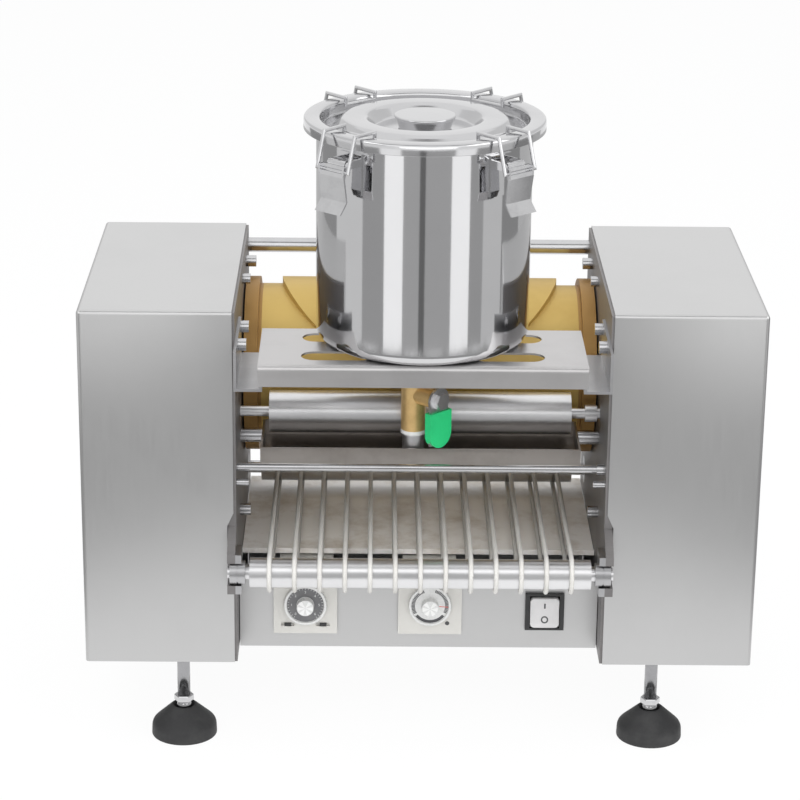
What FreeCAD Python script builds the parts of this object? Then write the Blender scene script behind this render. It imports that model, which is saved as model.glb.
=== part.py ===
"""Table-top drum machine that bakes thin crepe sheets, as a parametric model in millimetres.

X runs across the machine, Y from front to back, Z up from the floor that its feet stand on.
"""
import FreeCAD, Part
import math
import os
from types import SimpleNamespace

import Sketcher
from FreeCAD import Rotation, Vector

# Driving sizes: name, millimetres or degrees, and what it measures.
DRIVING_SIZES = [
    ("cover_width", 112, "side cover across the machine"),
    ("cover_depth", 237, "side cover from front to back"),
    ("cover_height", 276, "side cover from its lower edge to its top"),
    ("cover_sheet", 1.5, "sheet of the side covers"),
    ("cover_corner", 3, "bend radius on the covers' outer edges"),
    ("cover_lap", 4, "how far a cover reaches over the edge of its side plate"),
    ("plate_thick", 6, "side plate"),
    ("lift", 74, "floor to the covers' lower edge"),
    ("seat_gap", 0.2, "clearance between pieces that are fixed together"),
    ("running_gap", 0.3, "clearance between moving and fixed surfaces"),
    ("journal_gap", 0.05, "radial clearance of a shaft in its bearing"),
    ("base_thick", 3, "base plate inside each cover"),
    ("arm_rise", 30, "root of the roller arm above the roller axis"),
    ("arm_drop", 20, "root of the roller arm below the roller axis"),
    ("notch_gap", 0.6, "room round the arm in the cover's notch"),
    ("notch_peak", 13, "pointed top of the cover's notch"),
    ("tie_radius", 5.75, "rear tie bar"),
    ("tie_back", 225, "tie bar behind the covers' front"),
    ("tie_up", 261, "tie bar above the covers' lower edge"),
    ("drum_radius", 68, "drum over its rims and pad"),
    ("barrel_drop", 5.5, "barrel below the rims and pad"),
    ("rim_width", 10.5, "raised rim at each drum end"),
    ("drum_wall", 6, "drum barrel's wall"),
    ("drum_end_gap", 1.4, "drum end to side plate"),
    ("drum_back", 164.5, "drum axis behind the covers' front"),
    ("drum_up", 182.3, "drum axis above the covers' lower edge"),
    ("pad_diameter", 214, "round baking pad, measured along the drum's surface"),
    ("pad_lean", 13, "pad centre behind the top of the drum, degrees"),
    ("hub_thick", 10, "drum end disc"),
    ("journal_radius", 15, "drum shaft"),
    ("journal_reach", 36, "drum shaft beyond the side plate"),
    ("heater_radius", 6, "heater rod"),
    ("heater_circle", 44, "heater rods from the drum axis"),
    ("flange_thick", 3, "flange of a shaft bearing"),
    ("flange_rim", 4, "flange of a shaft bearing beyond its seat"),
    ("bearing_wall", 6, "shaft bearing from bore to seat"),
    ("gear_width", 8, "spur gears"),
    ("dip_radius", 16, "dip roller"),
    ("dip_length", 228, "dip roller's barrel"),
    ("dip_up", 171.8, "dip roller axis above the covers' lower edge"),
    ("dip_shaft", 4, "dip roller's shaft radius"),
    ("dip_collar", 6.5, "collar on the dip roller's shaft, radius"),
    ("dip_collar_width", 9, "collar on the dip roller's shaft"),
    ("nip_gap", 0.46, "dip roller to drum"),
    ("roller_radius", 11, "conveyor rollers"),
    ("roller_length", 251, "conveyor rollers' barrel"),
    ("roller_side_gap", 10.5, "conveyor rollers' barrel to each side plate"),
    ("plate_gap", "=roller_length + 2 * roller_side_gap", "clear width between the side plates"),
    ("roller_up", 79.5, "conveyor roller axes above the covers' lower edge"),
    ("roller_shaft", 5, "conveyor rollers' shaft radius"),
    ("front_fore", 15, "front roller axis ahead of the covers"),
    ("rear_back", 205, "rear roller axis behind the covers' front"),
    ("cord_radius", 1.75, "conveyor cord"),
    ("cord_pitch", 18.5, "conveyor cord spacing"),
    ("fork_half", 15.5, "fork that holds a front roller bearing, half its height"),
    ("fork_fore", 5, "fork ahead of the front roller's axis"),
    ("fork_pad", 4.5, "pad on the inner face of a fork"),
    ("fork_bearing", 8.7, "front roller bearing, radius"),
    ("fork_width", 11.4, "front roller bearing"),
    ("fork_inset", 1.8, "front roller bearing inside the plate's outer face"),
    ("guide_radius", 3, "guide rod"),
    ("guide_back", 16.6, "guide rod behind the covers' front"),
    ("guide_up", 150.7, "guide rod above the covers' lower edge"),
    ("tray_length", 239, "batter tray across the machine"),
    ("tray_fore", 45.7, "batter tray's front ahead of the dip roller axis"),
    ("tray_rear", 1, "batter tray's rear wall behind the dip roller"),
    ("tray_up", 146, "batter tray's underside above the covers' lower edge"),
    ("tray_height", 13, "batter tray"),
    ("tray_sheet", 1.5, "batter tray's sheet"),
    ("post_radius", 5.5, "post that carries the batter tray"),
    ("shelf_side_gap", 17.5, "bucket shelf to each side plate"),
    ("shelf_fore", 26, "bucket shelf ahead of the covers"),
    ("shelf_depth", 87, "bucket shelf from front to back"),
    ("shelf_up", 244, "bucket shelf's top above the covers' lower edge"),
    ("shelf_sheet", 1.5, "bucket shelf's sheet"),
    ("shelf_flange", 16, "bucket shelf's front flange"),
    ("shelf_bend", 4, "bend at the bucket shelf's front, outer radius"),
    ("slot_width", 20, "slot in the bucket shelf"),
    ("slot_length", 52, "slot in the bucket shelf, end to end"),
    ("slot_reach", 88, "outer end of a slot from the middle"),
    ("slot_first", 23.4, "front pair of slots behind the shelf's front"),
    ("slot_step", 42.6, "front pair of slots to rear pair"),
    ("rail_sheet", 2, "shelf rail's sheet"),
    ("rail_depth", 19.5, "shelf rail's channel below the shelf"),
    ("rail_upstand", 9, "shelf rail's outer leg above the shelf"),
    ("bucket_radius", 78.2, "bucket's wall, outside"),
    ("bucket_sheet", 1.2, "bucket and lid sheet"),
    ("bucket_height", 161.8, "bucket to the top of its flange"),
    ("bucket_corner", 9, "bucket's lower corner radius"),
    ("bucket_back", 47.5, "bucket axis behind the covers' front"),
    ("ring_radius", 87.4, "lid over its skirt"),
    ("skirt_height", 8.5, "lid's skirt"),
    ("gasket_thick", 3, "lid gasket"),
    ("trough_depth", 9, "trough inside the lid's rim"),
    ("plug_gap", 0.8, "lid's plug inside the bucket's mouth"),
    ("crown_radius", 59, "lid's raised crown"),
    ("dish_radius", 36, "dish in the middle of the lid"),
    ("dish_depth", 9, "dish in the middle of the lid"),
    ("knob_radius", 22.3, "lid knob"),
    ("knob_rise", 1, "lid knob above the lid's rim"),
    ("latch_angle", 42, "latches each side of the middle, degrees"),
    ("latch_drop", 19, "latch hinge below the lid's rim"),
    ("bracket_drop", 24, "latch bracket below its hinge"),
    ("bracket_rise", 6, "latch bracket above its hinge"),
    ("latch_out", 3.1, "latch hinge outside the lid's skirt"),
    ("latch_width", 24, "latch lever"),
    ("latch_sheet", 1.5, "latch lever's and bracket's sheet"),
    ("latch_pin", 1.5, "latch hinge pin's radius"),
    ("bail_radius", 1.4, "latch bail wire"),
    ("bail_over", 2.4, "bail wire's centre above the lid's rim"),
    ("bail_dip", 2.6, "bail's cross bar below the lid's rim"),
    ("bail_in", 17.5, "bail's cross bar inside the lid's skirt"),
    ("valve_side", -5.5, "valve axis from the bucket's"),
    ("valve_radius", 9.3, "valve body"),
    ("valve_length", 73, "valve body below the bucket"),
    ("valve_flats", 32, "hexagon on the valve"),
    ("sleeve_drop", 20, "valve's round sleeve below the shelf"),
    ("valve_bore", 5, "valve's passage, radius"),
    ("stem_drop", 45, "valve stem below the bucket"),
    ("stem_radius", 4, "valve stem"),
    ("stem_reach", 15, "valve stem's boss outside the valve body"),
    ("washer_thick", 3, "white washer under the valve"),
    ("nozzle_radius", 8.2, "nozzle"),
    ("nozzle_length", 16, "nozzle"),
    ("lever_length", 34, "valve lever below its stem"),
    ("lever_width", 18, "valve lever"),
    ("lever_sheet", 2, "valve lever's sheet"),
    ("grip_wall", 2, "sleeve on the valve lever"),
    ("grip_length", 28, "sleeve on the valve lever"),
    ("panel_back", 30, "control panel behind the covers' front"),
    ("panel_height", 59, "control panel"),
    ("panel_sheet", 1.5, "control panel's sheet"),
    ("panel_side_gap", 0.6, "control panel to each side plate"),
    ("box_depth", 150, "control box from front to back"),
    ("meter_side", 48, "panel instrument's bezel"),
    ("meter_bezel", 4, "panel instrument's bezel in front of the panel"),
    ("meter_body", 41, "panel instrument's case behind the panel"),
    ("meter_depth", 60, "panel instrument's case behind the panel, long"),
    ("meter_up", 36.5, "instruments' centres above the covers' lower edge"),
    ("timer_side", -85.7, "timer from the middle"),
    ("thermostat_side", 8.5, "thermostat from the middle"),
    ("dial_radius", 16, "instrument dial"),
    ("dial_thick", 3, "instrument dial"),
    ("dial_knob", 6.4, "grip in the middle of a dial, radius"),
    ("dial_rim", 1.8, "raised rim of a dial"),
    ("dial_spindle", 3, "dial spindle, radius"),
    ("slider_side", 13.3, "selector slider from the timer's middle"),
    ("slider_up", 6, "selector slider above the bezel's lower edge"),
    ("slider_length", 5, "selector slider"),
    ("rocker_side", 95.5, "switch from the middle"),
    ("rocker_up", 30.5, "switch centre above the covers' lower edge"),
    ("rocker_frame", 29.5, "switch frame"),
    ("rocker_lip", 3, "switch frame in front of the panel"),
    ("rocker_case", 24, "switch case behind the panel"),
    ("rocker_height", 24, "rocker"),
    ("rocker_width", 22, "rocker across"),
    ("pan_fore_back", 72, "drip pan's front behind the covers' front"),
    ("pan_sheet", 1.5, "drip pan's sheet"),
    ("pan_lip", 4, "drip pan's front lip"),
    ("bolt_radius", 4.5, "bolt head"),
    ("rail_bolt", 11.4, "front bolt of a shelf rail behind the covers' front"),
    ("rail_bolt_up", 3.5, "bolts of a shelf rail above the shelf's top"),
    ("rail_bolt_step", 42.6, "bolts of a shelf rail, spacing"),
    ("upper_bolt", 128, "upper bolts behind the covers' front"),
    ("upper_bolt_step", 58, "upper bolts, spacing"),
    ("upper_bolt_up", 259, "upper bolts above the covers' lower edge"),
    ("side_bolt", 62, "lower bolt behind the covers' front"),
    ("side_bolt_up", 99, "lower bolt above the covers' lower edge"),
    ("bolt_head", 6, "bolt head, thick"),
    ("motor_back", 88, "motor shaft behind the covers' front"),
    ("motor_up", 62, "motor shaft above the covers' lower edge"),
    ("motor_shaft", 6, "motor shaft's radius"),
    ("gearbox_half", 32, "gearbox, half its side"),
    ("gearbox_length", 40, "gearbox along its shaft"),
    ("motor_radius", 29, "motor"),
    ("motor_length", 36, "motor behind its gearbox"),
    ("chain_first", 8, "drum chain beyond the side plate"),
    ("chain_second", 18, "conveyor chain beyond the side plate"),
    ("chain_width", 5, "chains"),
    ("chain_thick", 4, "chains"),
    ("drum_sprocket_radius", 45, "drum sprocket"),
    ("motor_sprocket_radius", 18, "motor sprocket"),
    ("dip_sprocket_radius", 20, "dip roller's sprocket"),
    ("rear_sprocket_radius", 15, "rear roller's sprocket"),
    ("slip_radius", 20, "slip ring"),
    ("slip_width", 4, "slip ring"),
    ("brush_rise", 80, "brush holder's post above the drum axis"),
    ("foot_radius", 25, "foot pad"),
    ("foot_edge", 5, "foot pad's upright edge"),
    ("foot_pad", 22.4, "foot pad"),
    ("foot_hex", 8.5, "hexagon on a foot's spindle"),
    ("foot_flat", 15, "hexagon on a foot's spindle, corner to corner"),
    ("foot_stem", 5, "foot's spindle, radius"),
    ("foot_boss", 10, "threaded boss for a foot"),
    ("foot_side", 179, "feet from the middle"),
    ("foot_inset", 33, "feet from the covers' front and back"),
    ("gland_radius", 10, "cable gland"),
    ("gland_reach", 12, "cable gland behind the cover"),
    ("gland_up", 40, "cable gland above the covers' lower edge"),
]

CORD_COUNT = 13
CORD_SIDES = 6
HEATER_COUNT = 6
DRUM_GEAR_TEETH = 56
DIP_GEAR_TEETH = 14
STEM_TURN = 45

doc = FreeCAD.newDocument("CrepeDrumMachine")
sheet = doc.addObject("Spreadsheet::Sheet", "Sizes")
for row, (alias, millimetres, meaning) in enumerate(DRIVING_SIZES, start=1):
    sheet.set(f"A{row}", meaning)
    sheet.set(f"B{row}", str(millimetres))
    sheet.setAlias(f"B{row}", alias)
doc.recompute()


class Size:
    """A length: its number, and the expression that gives it from the sheet."""

    def __init__(self, text, number):
        self.text = text
        self.number = number

    def __float__(self):
        return self.number

    def __add__(self, other):
        return Size(f"({self.text} + {as_size(other).text})", self.number + float(other))

    def __sub__(self, other):
        return Size(f"({self.text} - {as_size(other).text})", self.number - float(other))

    def __mul__(self, other):
        return Size(f"({self.text} * {as_size(other).text})", self.number * float(other))

    def __truediv__(self, other):
        return Size(f"({self.text} / {as_size(other).text})", self.number / float(other))

    def __radd__(self, other):
        return as_size(other) + self

    def __rsub__(self, other):
        return as_size(other) - self

    def __rmul__(self, other):
        return as_size(other) * self

    def __neg__(self):
        return as_size(0) - self


def as_size(thing):
    """A Size as it is, and a plain number as a Size."""
    if isinstance(thing, Size):
        return thing
    return Size(f"({float(thing):.9f})", float(thing))


def root(square):
    """The square root of a Size."""
    return Size(f"sqrt({square.text})", math.sqrt(square.number))


S = SimpleNamespace(**{alias: Size(f"Sizes.{alias}", float(sheet.get(alias))) for alias, _, _ in DRIVING_SIZES})

ALONG_X = Rotation(Vector(0, 1, 0), 90)
ALONG_Y = Rotation(Vector(1, 0, 0), -90)
ALONG_Z = Rotation()
FACING_FRONT = Rotation(Vector(1, 0, 0), 90)


def bind(thing, prop, size):
    """Tie one property to the sheet."""
    thing.setExpression(prop, as_size(size).text)


def place(thing, base, turn=ALONG_Z):
    """Put an object at a bound place, turned from its own axes."""
    thing.Placement = FreeCAD.Placement(Vector(*[float(step) for step in base]), turn)
    for axis, step in zip("xyz", base):
        bind(thing, f"Placement.Base.{axis}", step)
    return thing


def block(name, low, high):
    """A box between two corners."""
    solid = doc.addObject("Part::Box", name)
    for prop, start, end in zip(("Length", "Width", "Height"), low, high):
        bind(solid, prop, end - start)
    return place(solid, low)


def rod(name, start, length, radius, turn):
    """A cylinder from a point, along the axis that its turn gives."""
    solid = doc.addObject("Part::Cylinder", name)
    bind(solid, "Radius", radius)
    bind(solid, "Height", length)
    return place(solid, start, turn)


def hexagon(name, start, length, corner_radius, turn):
    """A six-sided bar from a point."""
    solid = doc.addObject("Part::Prism", name)
    solid.Polygon = 6
    bind(solid, "Circumradius", corner_radius)
    bind(solid, "Height", length)
    return place(solid, start, turn)


def fuse(name, *solids):
    """Several solids joined into one."""
    joined = doc.addObject("Part::MultiFuse", name)
    joined.Shapes = list(solids)
    joined.Refine = True
    return joined


def cut(name, base, *tools):
    """A solid with one or more tools taken away."""
    result = doc.addObject("Part::Cut", name)
    result.Base = base
    result.Tool = tools[0] if len(tools) == 1 else fuse(f"{name}_tools", *tools)
    return result


def group(name, *solids):
    """Separate solids that share a node."""
    together = doc.addObject("Part::Compound", name)
    together.Links = list(solids)
    return together


def mirrored(name, source):
    """The left-hand twin of a right-hand piece."""
    twin = doc.addObject("Part::Mirroring", name)
    twin.Source = source
    twin.Normal = Vector(1, 0, 0)
    return twin


def shaped(name, shape):
    """A solid that Part's own functions make from the sheet's sizes."""
    solid = doc.addObject("Part::Feature", name)
    solid.Shape = shape
    return solid


def outline(body, role, corners):
    """A closed sketch of straight lines whose corners are bound to the sheet."""
    plane = next(item for item in body.Origin.OriginFeatures if item.Role == role)
    sketch = body.newObject("Sketcher::SketchObject", f"{body.Name}_outline")
    sketch.AttachmentSupport = (plane, [""])
    sketch.MapMode = "FlatFace"
    points = [Vector(float(across), float(up), 0) for across, up in corners]
    count = len(points)
    for line in range(count):
        sketch.addGeometry(Part.LineSegment(points[line], points[(line + 1) % count]))
    for line in range(count):
        sketch.addConstraint(Sketcher.Constraint("Coincident", line, 2, (line + 1) % count, 1))
    for line, corner in enumerate(corners):
        for kind, step in zip(("DistanceX", "DistanceY"), corner):
            index = sketch.addConstraint(Sketcher.Constraint(kind, -1, 1, line, 1, float(step)))
            bind(sketch, f"Constraints[{index}]", step)
    return sketch


def turned(name, profile, base=(0, 0, 0), turn=ALONG_Z):
    """A piece turned on a lathe: its profile is (radius, along the axis)."""
    body = doc.addObject("PartDesign::Body", name)
    sketch = outline(body, "XZ_Plane", profile)
    spin = body.newObject("PartDesign::Revolution", f"{name}_turn")
    spin.Profile = sketch
    spin.ReferenceAxis = (sketch, ["V_Axis"])
    spin.Angle = 360
    body.Tip = spin
    return place(body, base, turn)


def extruded(name, role, corners, length, base=(0, 0, 0), turn=ALONG_Z, middle=False):
    """A piece of one outline, carried along the normal of its plane."""
    body = doc.addObject("PartDesign::Body", name)
    sketch = outline(body, role, corners)
    carry = body.newObject("PartDesign::Pad", f"{name}_pad")
    carry.Profile = sketch
    carry.SideType = "Symmetric" if middle else "One side"
    bind(carry, "Length", length)
    body.Tip = carry
    return place(body, base, turn)


def rounded(body, radius, wanted):
    """Fillet the edges of a body's last feature that a test picks."""
    doc.recompute()
    last = body.Tip
    names = [f"Edge{i}" for i, edge in enumerate(last.Shape.Edges, start=1) if wanted(edge)]
    fillet = body.newObject("PartDesign::Fillet", f"{body.Name}_fillet")
    fillet.Base = (last, names)
    bind(fillet, "Radius", radius)
    body.Tip = fillet
    return body


def bent_wire(points, radius):
    """A round wire along straight runs with mitred bends."""
    path = Part.makePolygon(points)
    section = Part.Wire(Part.makeCircle(radius, points[0], points[1] - points[0]))
    sweep = Part.BRepOffsetAPI.MakePipeShell(path)
    sweep.setTransitionMode(1)
    sweep.add(section)
    sweep.build()
    sweep.makeSolid()
    return sweep.shape()


# Places that several pieces share.
front = -(S.bucket_back - S.ring_radius + S.cover_depth + S.gland_reach) / 2
cover_back = front + S.cover_depth
cover_top = S.lift + S.cover_height
plate_in = S.plate_gap / 2
plate_out = plate_in + S.plate_thick
cover_in = plate_out - S.cover_lap
cover_out = cover_in + S.cover_width
plate_front = front + S.cover_sheet + S.seat_gap
plate_rear = cover_back - S.cover_sheet - S.seat_gap
plate_top = cover_top - S.cover_sheet - S.seat_gap
drum_y = front + S.drum_back
drum_z = S.lift + S.drum_up
dip_z = S.lift + S.dip_up
nip_distance = S.drum_radius + S.dip_radius + S.nip_gap
dip_y = drum_y - root(nip_distance * nip_distance - (drum_z - dip_z) * (drum_z - dip_z))
roller_z = S.lift + S.roller_up
front_roller_y = front - S.front_fore
rear_roller_y = front + S.rear_back
tie_y = front + S.tie_back
tie_z = S.lift + S.tie_up
guide_y = front + S.guide_back
guide_z = S.lift + S.guide_up
motor_y = front + S.motor_back
motor_z = S.lift + S.motor_up
bearing_out = plate_out + S.flange_thick
gear_x = bearing_out + S.running_gap
shelf_z = S.lift + S.shelf_up
shelf_y = front - S.shelf_fore
bucket_y = front + S.bucket_back
lid_z = shelf_z + S.bucket_height + S.gasket_thick + S.bucket_sheet
panel_y = front + S.panel_back
pan_z = S.lift + S.panel_height


def fork_mouth(name, low, high):
    """The open slot that lets a front roller bearing into its fork from the front."""
    half = S.fork_bearing + S.seat_gap
    return block(f"{name}_mouth", (low - 1, front_roller_y - S.fork_fore - 1, roller_z - half),
                 (high + 1, front_roller_y, roller_z + half))


def side_plates():
    """Side plates with an arm for the front roller and seats for the shafts."""
    nose = front_roller_y - S.fork_fore
    corners = [
        (plate_front, S.lift),
        (plate_rear, S.lift),
        (plate_rear, plate_top),
        (plate_front, plate_top),
        (plate_front, roller_z + S.arm_rise),
        (nose, roller_z + S.fork_half),
        (nose, roller_z - S.fork_half),
        (plate_front, roller_z - S.arm_drop),
    ]
    blank = extruded("plate_blank", "YZ_Plane", corners, S.plate_thick, (plate_in, 0, 0))
    seats = [
        (drum_y, drum_z, S.journal_radius + S.bearing_wall + S.seat_gap),
        (dip_y, dip_z, S.dip_shaft + S.bearing_wall + S.seat_gap),
        (rear_roller_y, roller_z, S.roller_shaft + S.bearing_wall + S.seat_gap),
        (front_roller_y, roller_z, S.fork_bearing + S.seat_gap),
        (tie_y, tie_z, S.tie_radius + S.journal_gap),
        (guide_y, guide_z, S.guide_radius + S.journal_gap),
    ]
    drills = [
        rod(f"plate_drill_{i}", (plate_in - 1, y, z), S.plate_thick + 2, radius, ALONG_X)
        for i, (y, z, radius) in enumerate(seats)
    ]
    mouth = fork_mouth("plate", plate_in, plate_out)
    right = cut("right_side_plate", blank, mouth, *drills)
    return [right, mirrored("left_side_plate", right)]


def side_covers():
    """Folded covers, open at the inner side and below, notched for the roller arms."""
    corners = [(cover_in, front), (cover_out, front), (cover_out, cover_back), (cover_in, cover_back)]
    blank = extruded("cover_blank", "XY_Plane", corners, S.cover_height, (0, 0, S.lift))

    def folded(edge):
        middle = edge.BoundBox.Center
        upright = edge.BoundBox.ZLength > 1
        across = edge.BoundBox.XLength > 1
        outer = abs(middle.x - float(cover_out)) < 0.01
        high = middle.z > float(S.cover_height) - 0.01
        return (upright and outer) or (high and (across or outer))

    rounded(blank, S.cover_corner, folded)
    hollow = block(
        "cover_hollow",
        (cover_in - 1, front + S.cover_sheet, S.lift - 1),
        (cover_out - S.cover_sheet, cover_back - S.cover_sheet, cover_top - S.cover_sheet),
    )
    notch_side = plate_out + S.notch_gap
    notch = extruded(
        "cover_notch",
        "XZ_Plane",
        [
            (cover_in - 1, roller_z - S.arm_drop - S.notch_gap),
            (notch_side, roller_z - S.arm_drop - S.notch_gap),
            (notch_side, roller_z + S.arm_rise + S.notch_gap),
            (cover_in - 1, roller_z + S.arm_rise + S.notch_peak),
        ],
        S.cover_sheet * 4,
        (0, front, 0),
        middle=True,
    )
    right = cut("right_cover", blank, hollow, notch)
    return [right, mirrored("left_cover", right)]


def base_plates():
    """Base plates inside the covers, with threaded bosses for the feet."""
    sheet_plate = block(
        "base_sheet",
        (plate_out, plate_front, S.lift),
        (cover_out - S.cover_sheet - S.seat_gap, plate_rear, S.lift + S.base_thick),
    )
    bosses = []
    threads = []
    for i, y in enumerate((front + S.foot_inset, cover_back - S.foot_inset)):
        low = (S.foot_side, y, S.lift)
        thread_low = (S.foot_side, y, S.lift - 1)
        bosses.append(rod(f"foot_boss_{i}", low, S.foot_boss, S.foot_stem * 2, ALONG_Z))
        threads.append(rod(f"foot_thread_{i}", thread_low, S.foot_boss + 2, S.foot_stem + S.journal_gap, ALONG_Z))
    right = cut("base_plate_right", fuse("base_plate_body", sheet_plate, *bosses), *threads)
    return [group("base_plates", right, mirrored("base_plate_left", right))]


def foot(name, side, y):
    """A levelling foot: a rubber pad under a spindle with a hexagon."""
    pad_top = S.foot_flat / 2 + 2
    pad = turned(
        f"{name}_pad",
        [(0, 0), (S.foot_radius, 0), (S.foot_radius, S.foot_edge), (pad_top + 6, S.foot_pad * 0.55),
         (pad_top, S.foot_pad), (0, S.foot_pad)],
    )
    key = hexagon(f"{name}_hexagon", (0, 0, S.foot_pad), S.foot_hex, S.foot_flat / 2, ALONG_Z)
    stem_length = S.lift - S.foot_pad + S.foot_boss + 14
    stem = rod(f"{name}_stem", (0, 0, S.foot_pad), stem_length, S.foot_stem, ALONG_Z)
    spindle = fuse(f"{name}_spindle", key, stem)
    return place(group(name, pad, spindle), (side, y, 0))


def feet():
    """Four levelling feet under the base plates."""
    rear = cover_back - S.foot_inset
    return [
        foot("foot_front_left", -S.foot_side, front + S.foot_inset),
        foot("foot_front_right", S.foot_side, front + S.foot_inset),
        foot("foot_rear_left", -S.foot_side, rear),
        foot("foot_rear_right", S.foot_side, rear),
    ]


def cross_bars():
    """The rear tie bar with its nuts, and the guide rod with its collar."""
    nut = S.tie_radius + 3
    span = plate_out * 2
    bar = rod("tie_bar_rod", (-plate_out, tie_y, tie_z), span, S.tie_radius, ALONG_X)
    nuts = [
        hexagon("tie_nut_right", (plate_out, tie_y, tie_z), S.bolt_head, nut, ALONG_X),
        hexagon("tie_nut_left", (-plate_out - S.bolt_head, tie_y, tie_z), S.bolt_head, nut, ALONG_X),
    ]
    guide = rod("guide_bar", (-plate_out, guide_y, guide_z), span, S.guide_radius, ALONG_X)
    collar_x = plate_in - S.bolt_head
    collar = rod("guide_collar", (collar_x, guide_y, guide_z), S.bolt_head, S.bolt_radius, ALONG_X)
    return [fuse("rear_tie_bar", bar, *nuts), fuse("guide_rod", guide, collar)]


def drum_pad():
    """The round pad, wrapped on the drum: a fence along the wrapped circle splits a ring."""
    half_length = float(plate_in - S.drum_end_gap)
    pad_radius = float(S.pad_diameter) / 2
    outer = float(S.drum_radius)
    inner = float(S.drum_radius - S.barrel_drop) - 0.5
    middle = math.pi - math.radians(float(S.pad_lean))

    def wrapped_circle(radius):
        points = []
        for step in range(24):
            around = 2 * math.pi * step / 24
            angle = middle + pad_radius * math.sin(around) / outer
            along = pad_radius * math.cos(around)
            points.append(Vector(radius * math.cos(angle), radius * math.sin(angle), along))
        curve = Part.BSplineCurve()
        curve.interpolate(points, PeriodicFlag=True)
        return curve.toShape()

    low = Vector(0, 0, -half_length)
    ring = Part.makeCylinder(outer, 2 * half_length, low).cut(Part.makeCylinder(inner, 2 * half_length, low))
    fence = Part.makeRuledSurface(wrapped_circle(inner * 0.9), wrapped_circle(outer * 1.1))
    pieces = ring.generalFuse([fence])[0].Solids
    centre = Vector(outer * math.cos(middle), outer * math.sin(middle), 0) * ((inner + outer) / 2 / outer)
    return next(piece for piece in pieces if piece.isInside(centre, 0.01, True))


def spur_gear(name, teeth, pitch_radius, bore, base, start_angle):
    """A spur gear: a disc, one straight-sided tooth, and a polar pattern of it."""
    module = pitch_radius * 2 / teeth
    disc = doc.addObject("PartDesign::Body", name)
    foot_radius = pitch_radius - module * 1.15
    plane = next(item for item in disc.Origin.OriginFeatures if item.Role == "XY_Plane")
    ring = disc.newObject("Sketcher::SketchObject", f"{name}_ring")
    ring.AttachmentSupport = (plane, [""])
    ring.MapMode = "FlatFace"
    for i, radius in enumerate((foot_radius, bore)):
        ring.addGeometry(Part.Circle(Vector(0, 0, 0), Vector(0, 0, 1), float(radius)))
        ring.addConstraint(Sketcher.Constraint("Coincident", i, 3, -1, 1))
        index = ring.addConstraint(Sketcher.Constraint("Radius", i, float(radius)))
        bind(ring, f"Constraints[{index}]", radius)
    body_pad = disc.newObject("PartDesign::Pad", f"{name}_disc")
    body_pad.Profile = ring
    bind(body_pad, "Length", S.gear_width)
    tooth = outline(
        disc,
        "XY_Plane",
        [
            (foot_radius - module * 0.4, -(module * 0.8)),
            (pitch_radius + module * 0.75, -(module * 0.28)),
            (pitch_radius + module * 0.75, module * 0.28),
            (foot_radius - module * 0.4, module * 0.8),
        ],
    )
    tooth_pad = disc.newObject("PartDesign::Pad", f"{name}_tooth")
    tooth_pad.Profile = tooth
    bind(tooth_pad, "Length", S.gear_width)
    pattern = disc.newObject("PartDesign::PolarPattern", f"{name}_teeth")
    pattern.Originals = [tooth_pad]
    pattern.Axis = (ring, ["N_Axis"])
    pattern.Angle = 360
    pattern.Occurrences = teeth
    disc.Tip = pattern
    return place(disc, base, ALONG_X.multiply(Rotation(Vector(0, 0, 1), start_angle)))


def drum():
    """The baking drum with its end discs, heaters, gear, sprocket and slip rings."""
    half = plate_in - S.drum_end_gap
    barrel = S.drum_radius - S.barrel_drop
    inside = barrel - S.drum_wall
    shell = turned(
        "drum_shell",
        [
            (inside, -half), (S.drum_radius, -half), (S.drum_radius, -half + S.rim_width),
            (barrel, -half + S.rim_width), (barrel, half - S.rim_width), (S.drum_radius, half - S.rim_width),
            (S.drum_radius, half), (inside, half),
        ],
        (0, drum_y, drum_z),
        ALONG_X,
    )
    pad = place(shaped("drum_pad", drum_pad()), (0, drum_y, drum_z), ALONG_X)
    heating_drum = fuse("heating_drum", shell, pad)
    hub = turned(
        "hub_right",
        [
            (0, half - S.hub_thick), (inside - S.journal_gap, half - S.hub_thick), (inside - S.journal_gap, half),
            (S.journal_radius, half), (S.journal_radius, plate_out + S.journal_reach),
            (0, plate_out + S.journal_reach),
        ],
        (0, drum_y, drum_z),
        ALONG_X,
    )
    hubs = group("drum_hubs", hub, mirrored("hub_left", hub))
    rods = []
    for i in range(HEATER_COUNT):
        angle = 2 * math.pi * i / HEATER_COUNT
        spot = (S.hub_thick - half, drum_y + S.heater_circle * math.cos(angle),
                drum_z + S.heater_circle * math.sin(angle))
        rods.append(rod(f"heater_{i}", spot, (half - S.hub_thick) * 2, S.heater_radius, ALONG_X))
    heaters = group("heater_rods", *rods)
    sprocket_x = plate_out + S.chain_first
    bore = S.journal_radius + S.journal_gap
    sprocket = turned(
        "drum_sprocket",
        [
            (bore, sprocket_x - 2), (S.journal_radius + 8, sprocket_x - 2), (S.journal_radius + 8, sprocket_x),
            (S.drum_sprocket_radius, sprocket_x), (S.drum_sprocket_radius, sprocket_x + S.chain_width),
            (bore, sprocket_x + S.chain_width),
        ],
        (0, drum_y, drum_z),
        ALONG_X,
    )
    rings = []
    for i in range(2):
        low = gear_x + S.gear_width + 3 + (S.slip_width + 4) * i
        rings.append(turned(
            f"slip_ring_{i}",
            [(bore, -low - S.slip_width), (S.slip_radius, -low - S.slip_width), (S.slip_radius, -low), (bore, -low)],
            (0, drum_y, drum_z),
            ALONG_X,
        ))
    return [heating_drum, hubs, heaters, sprocket, group("slip_rings", *rings)]


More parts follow.
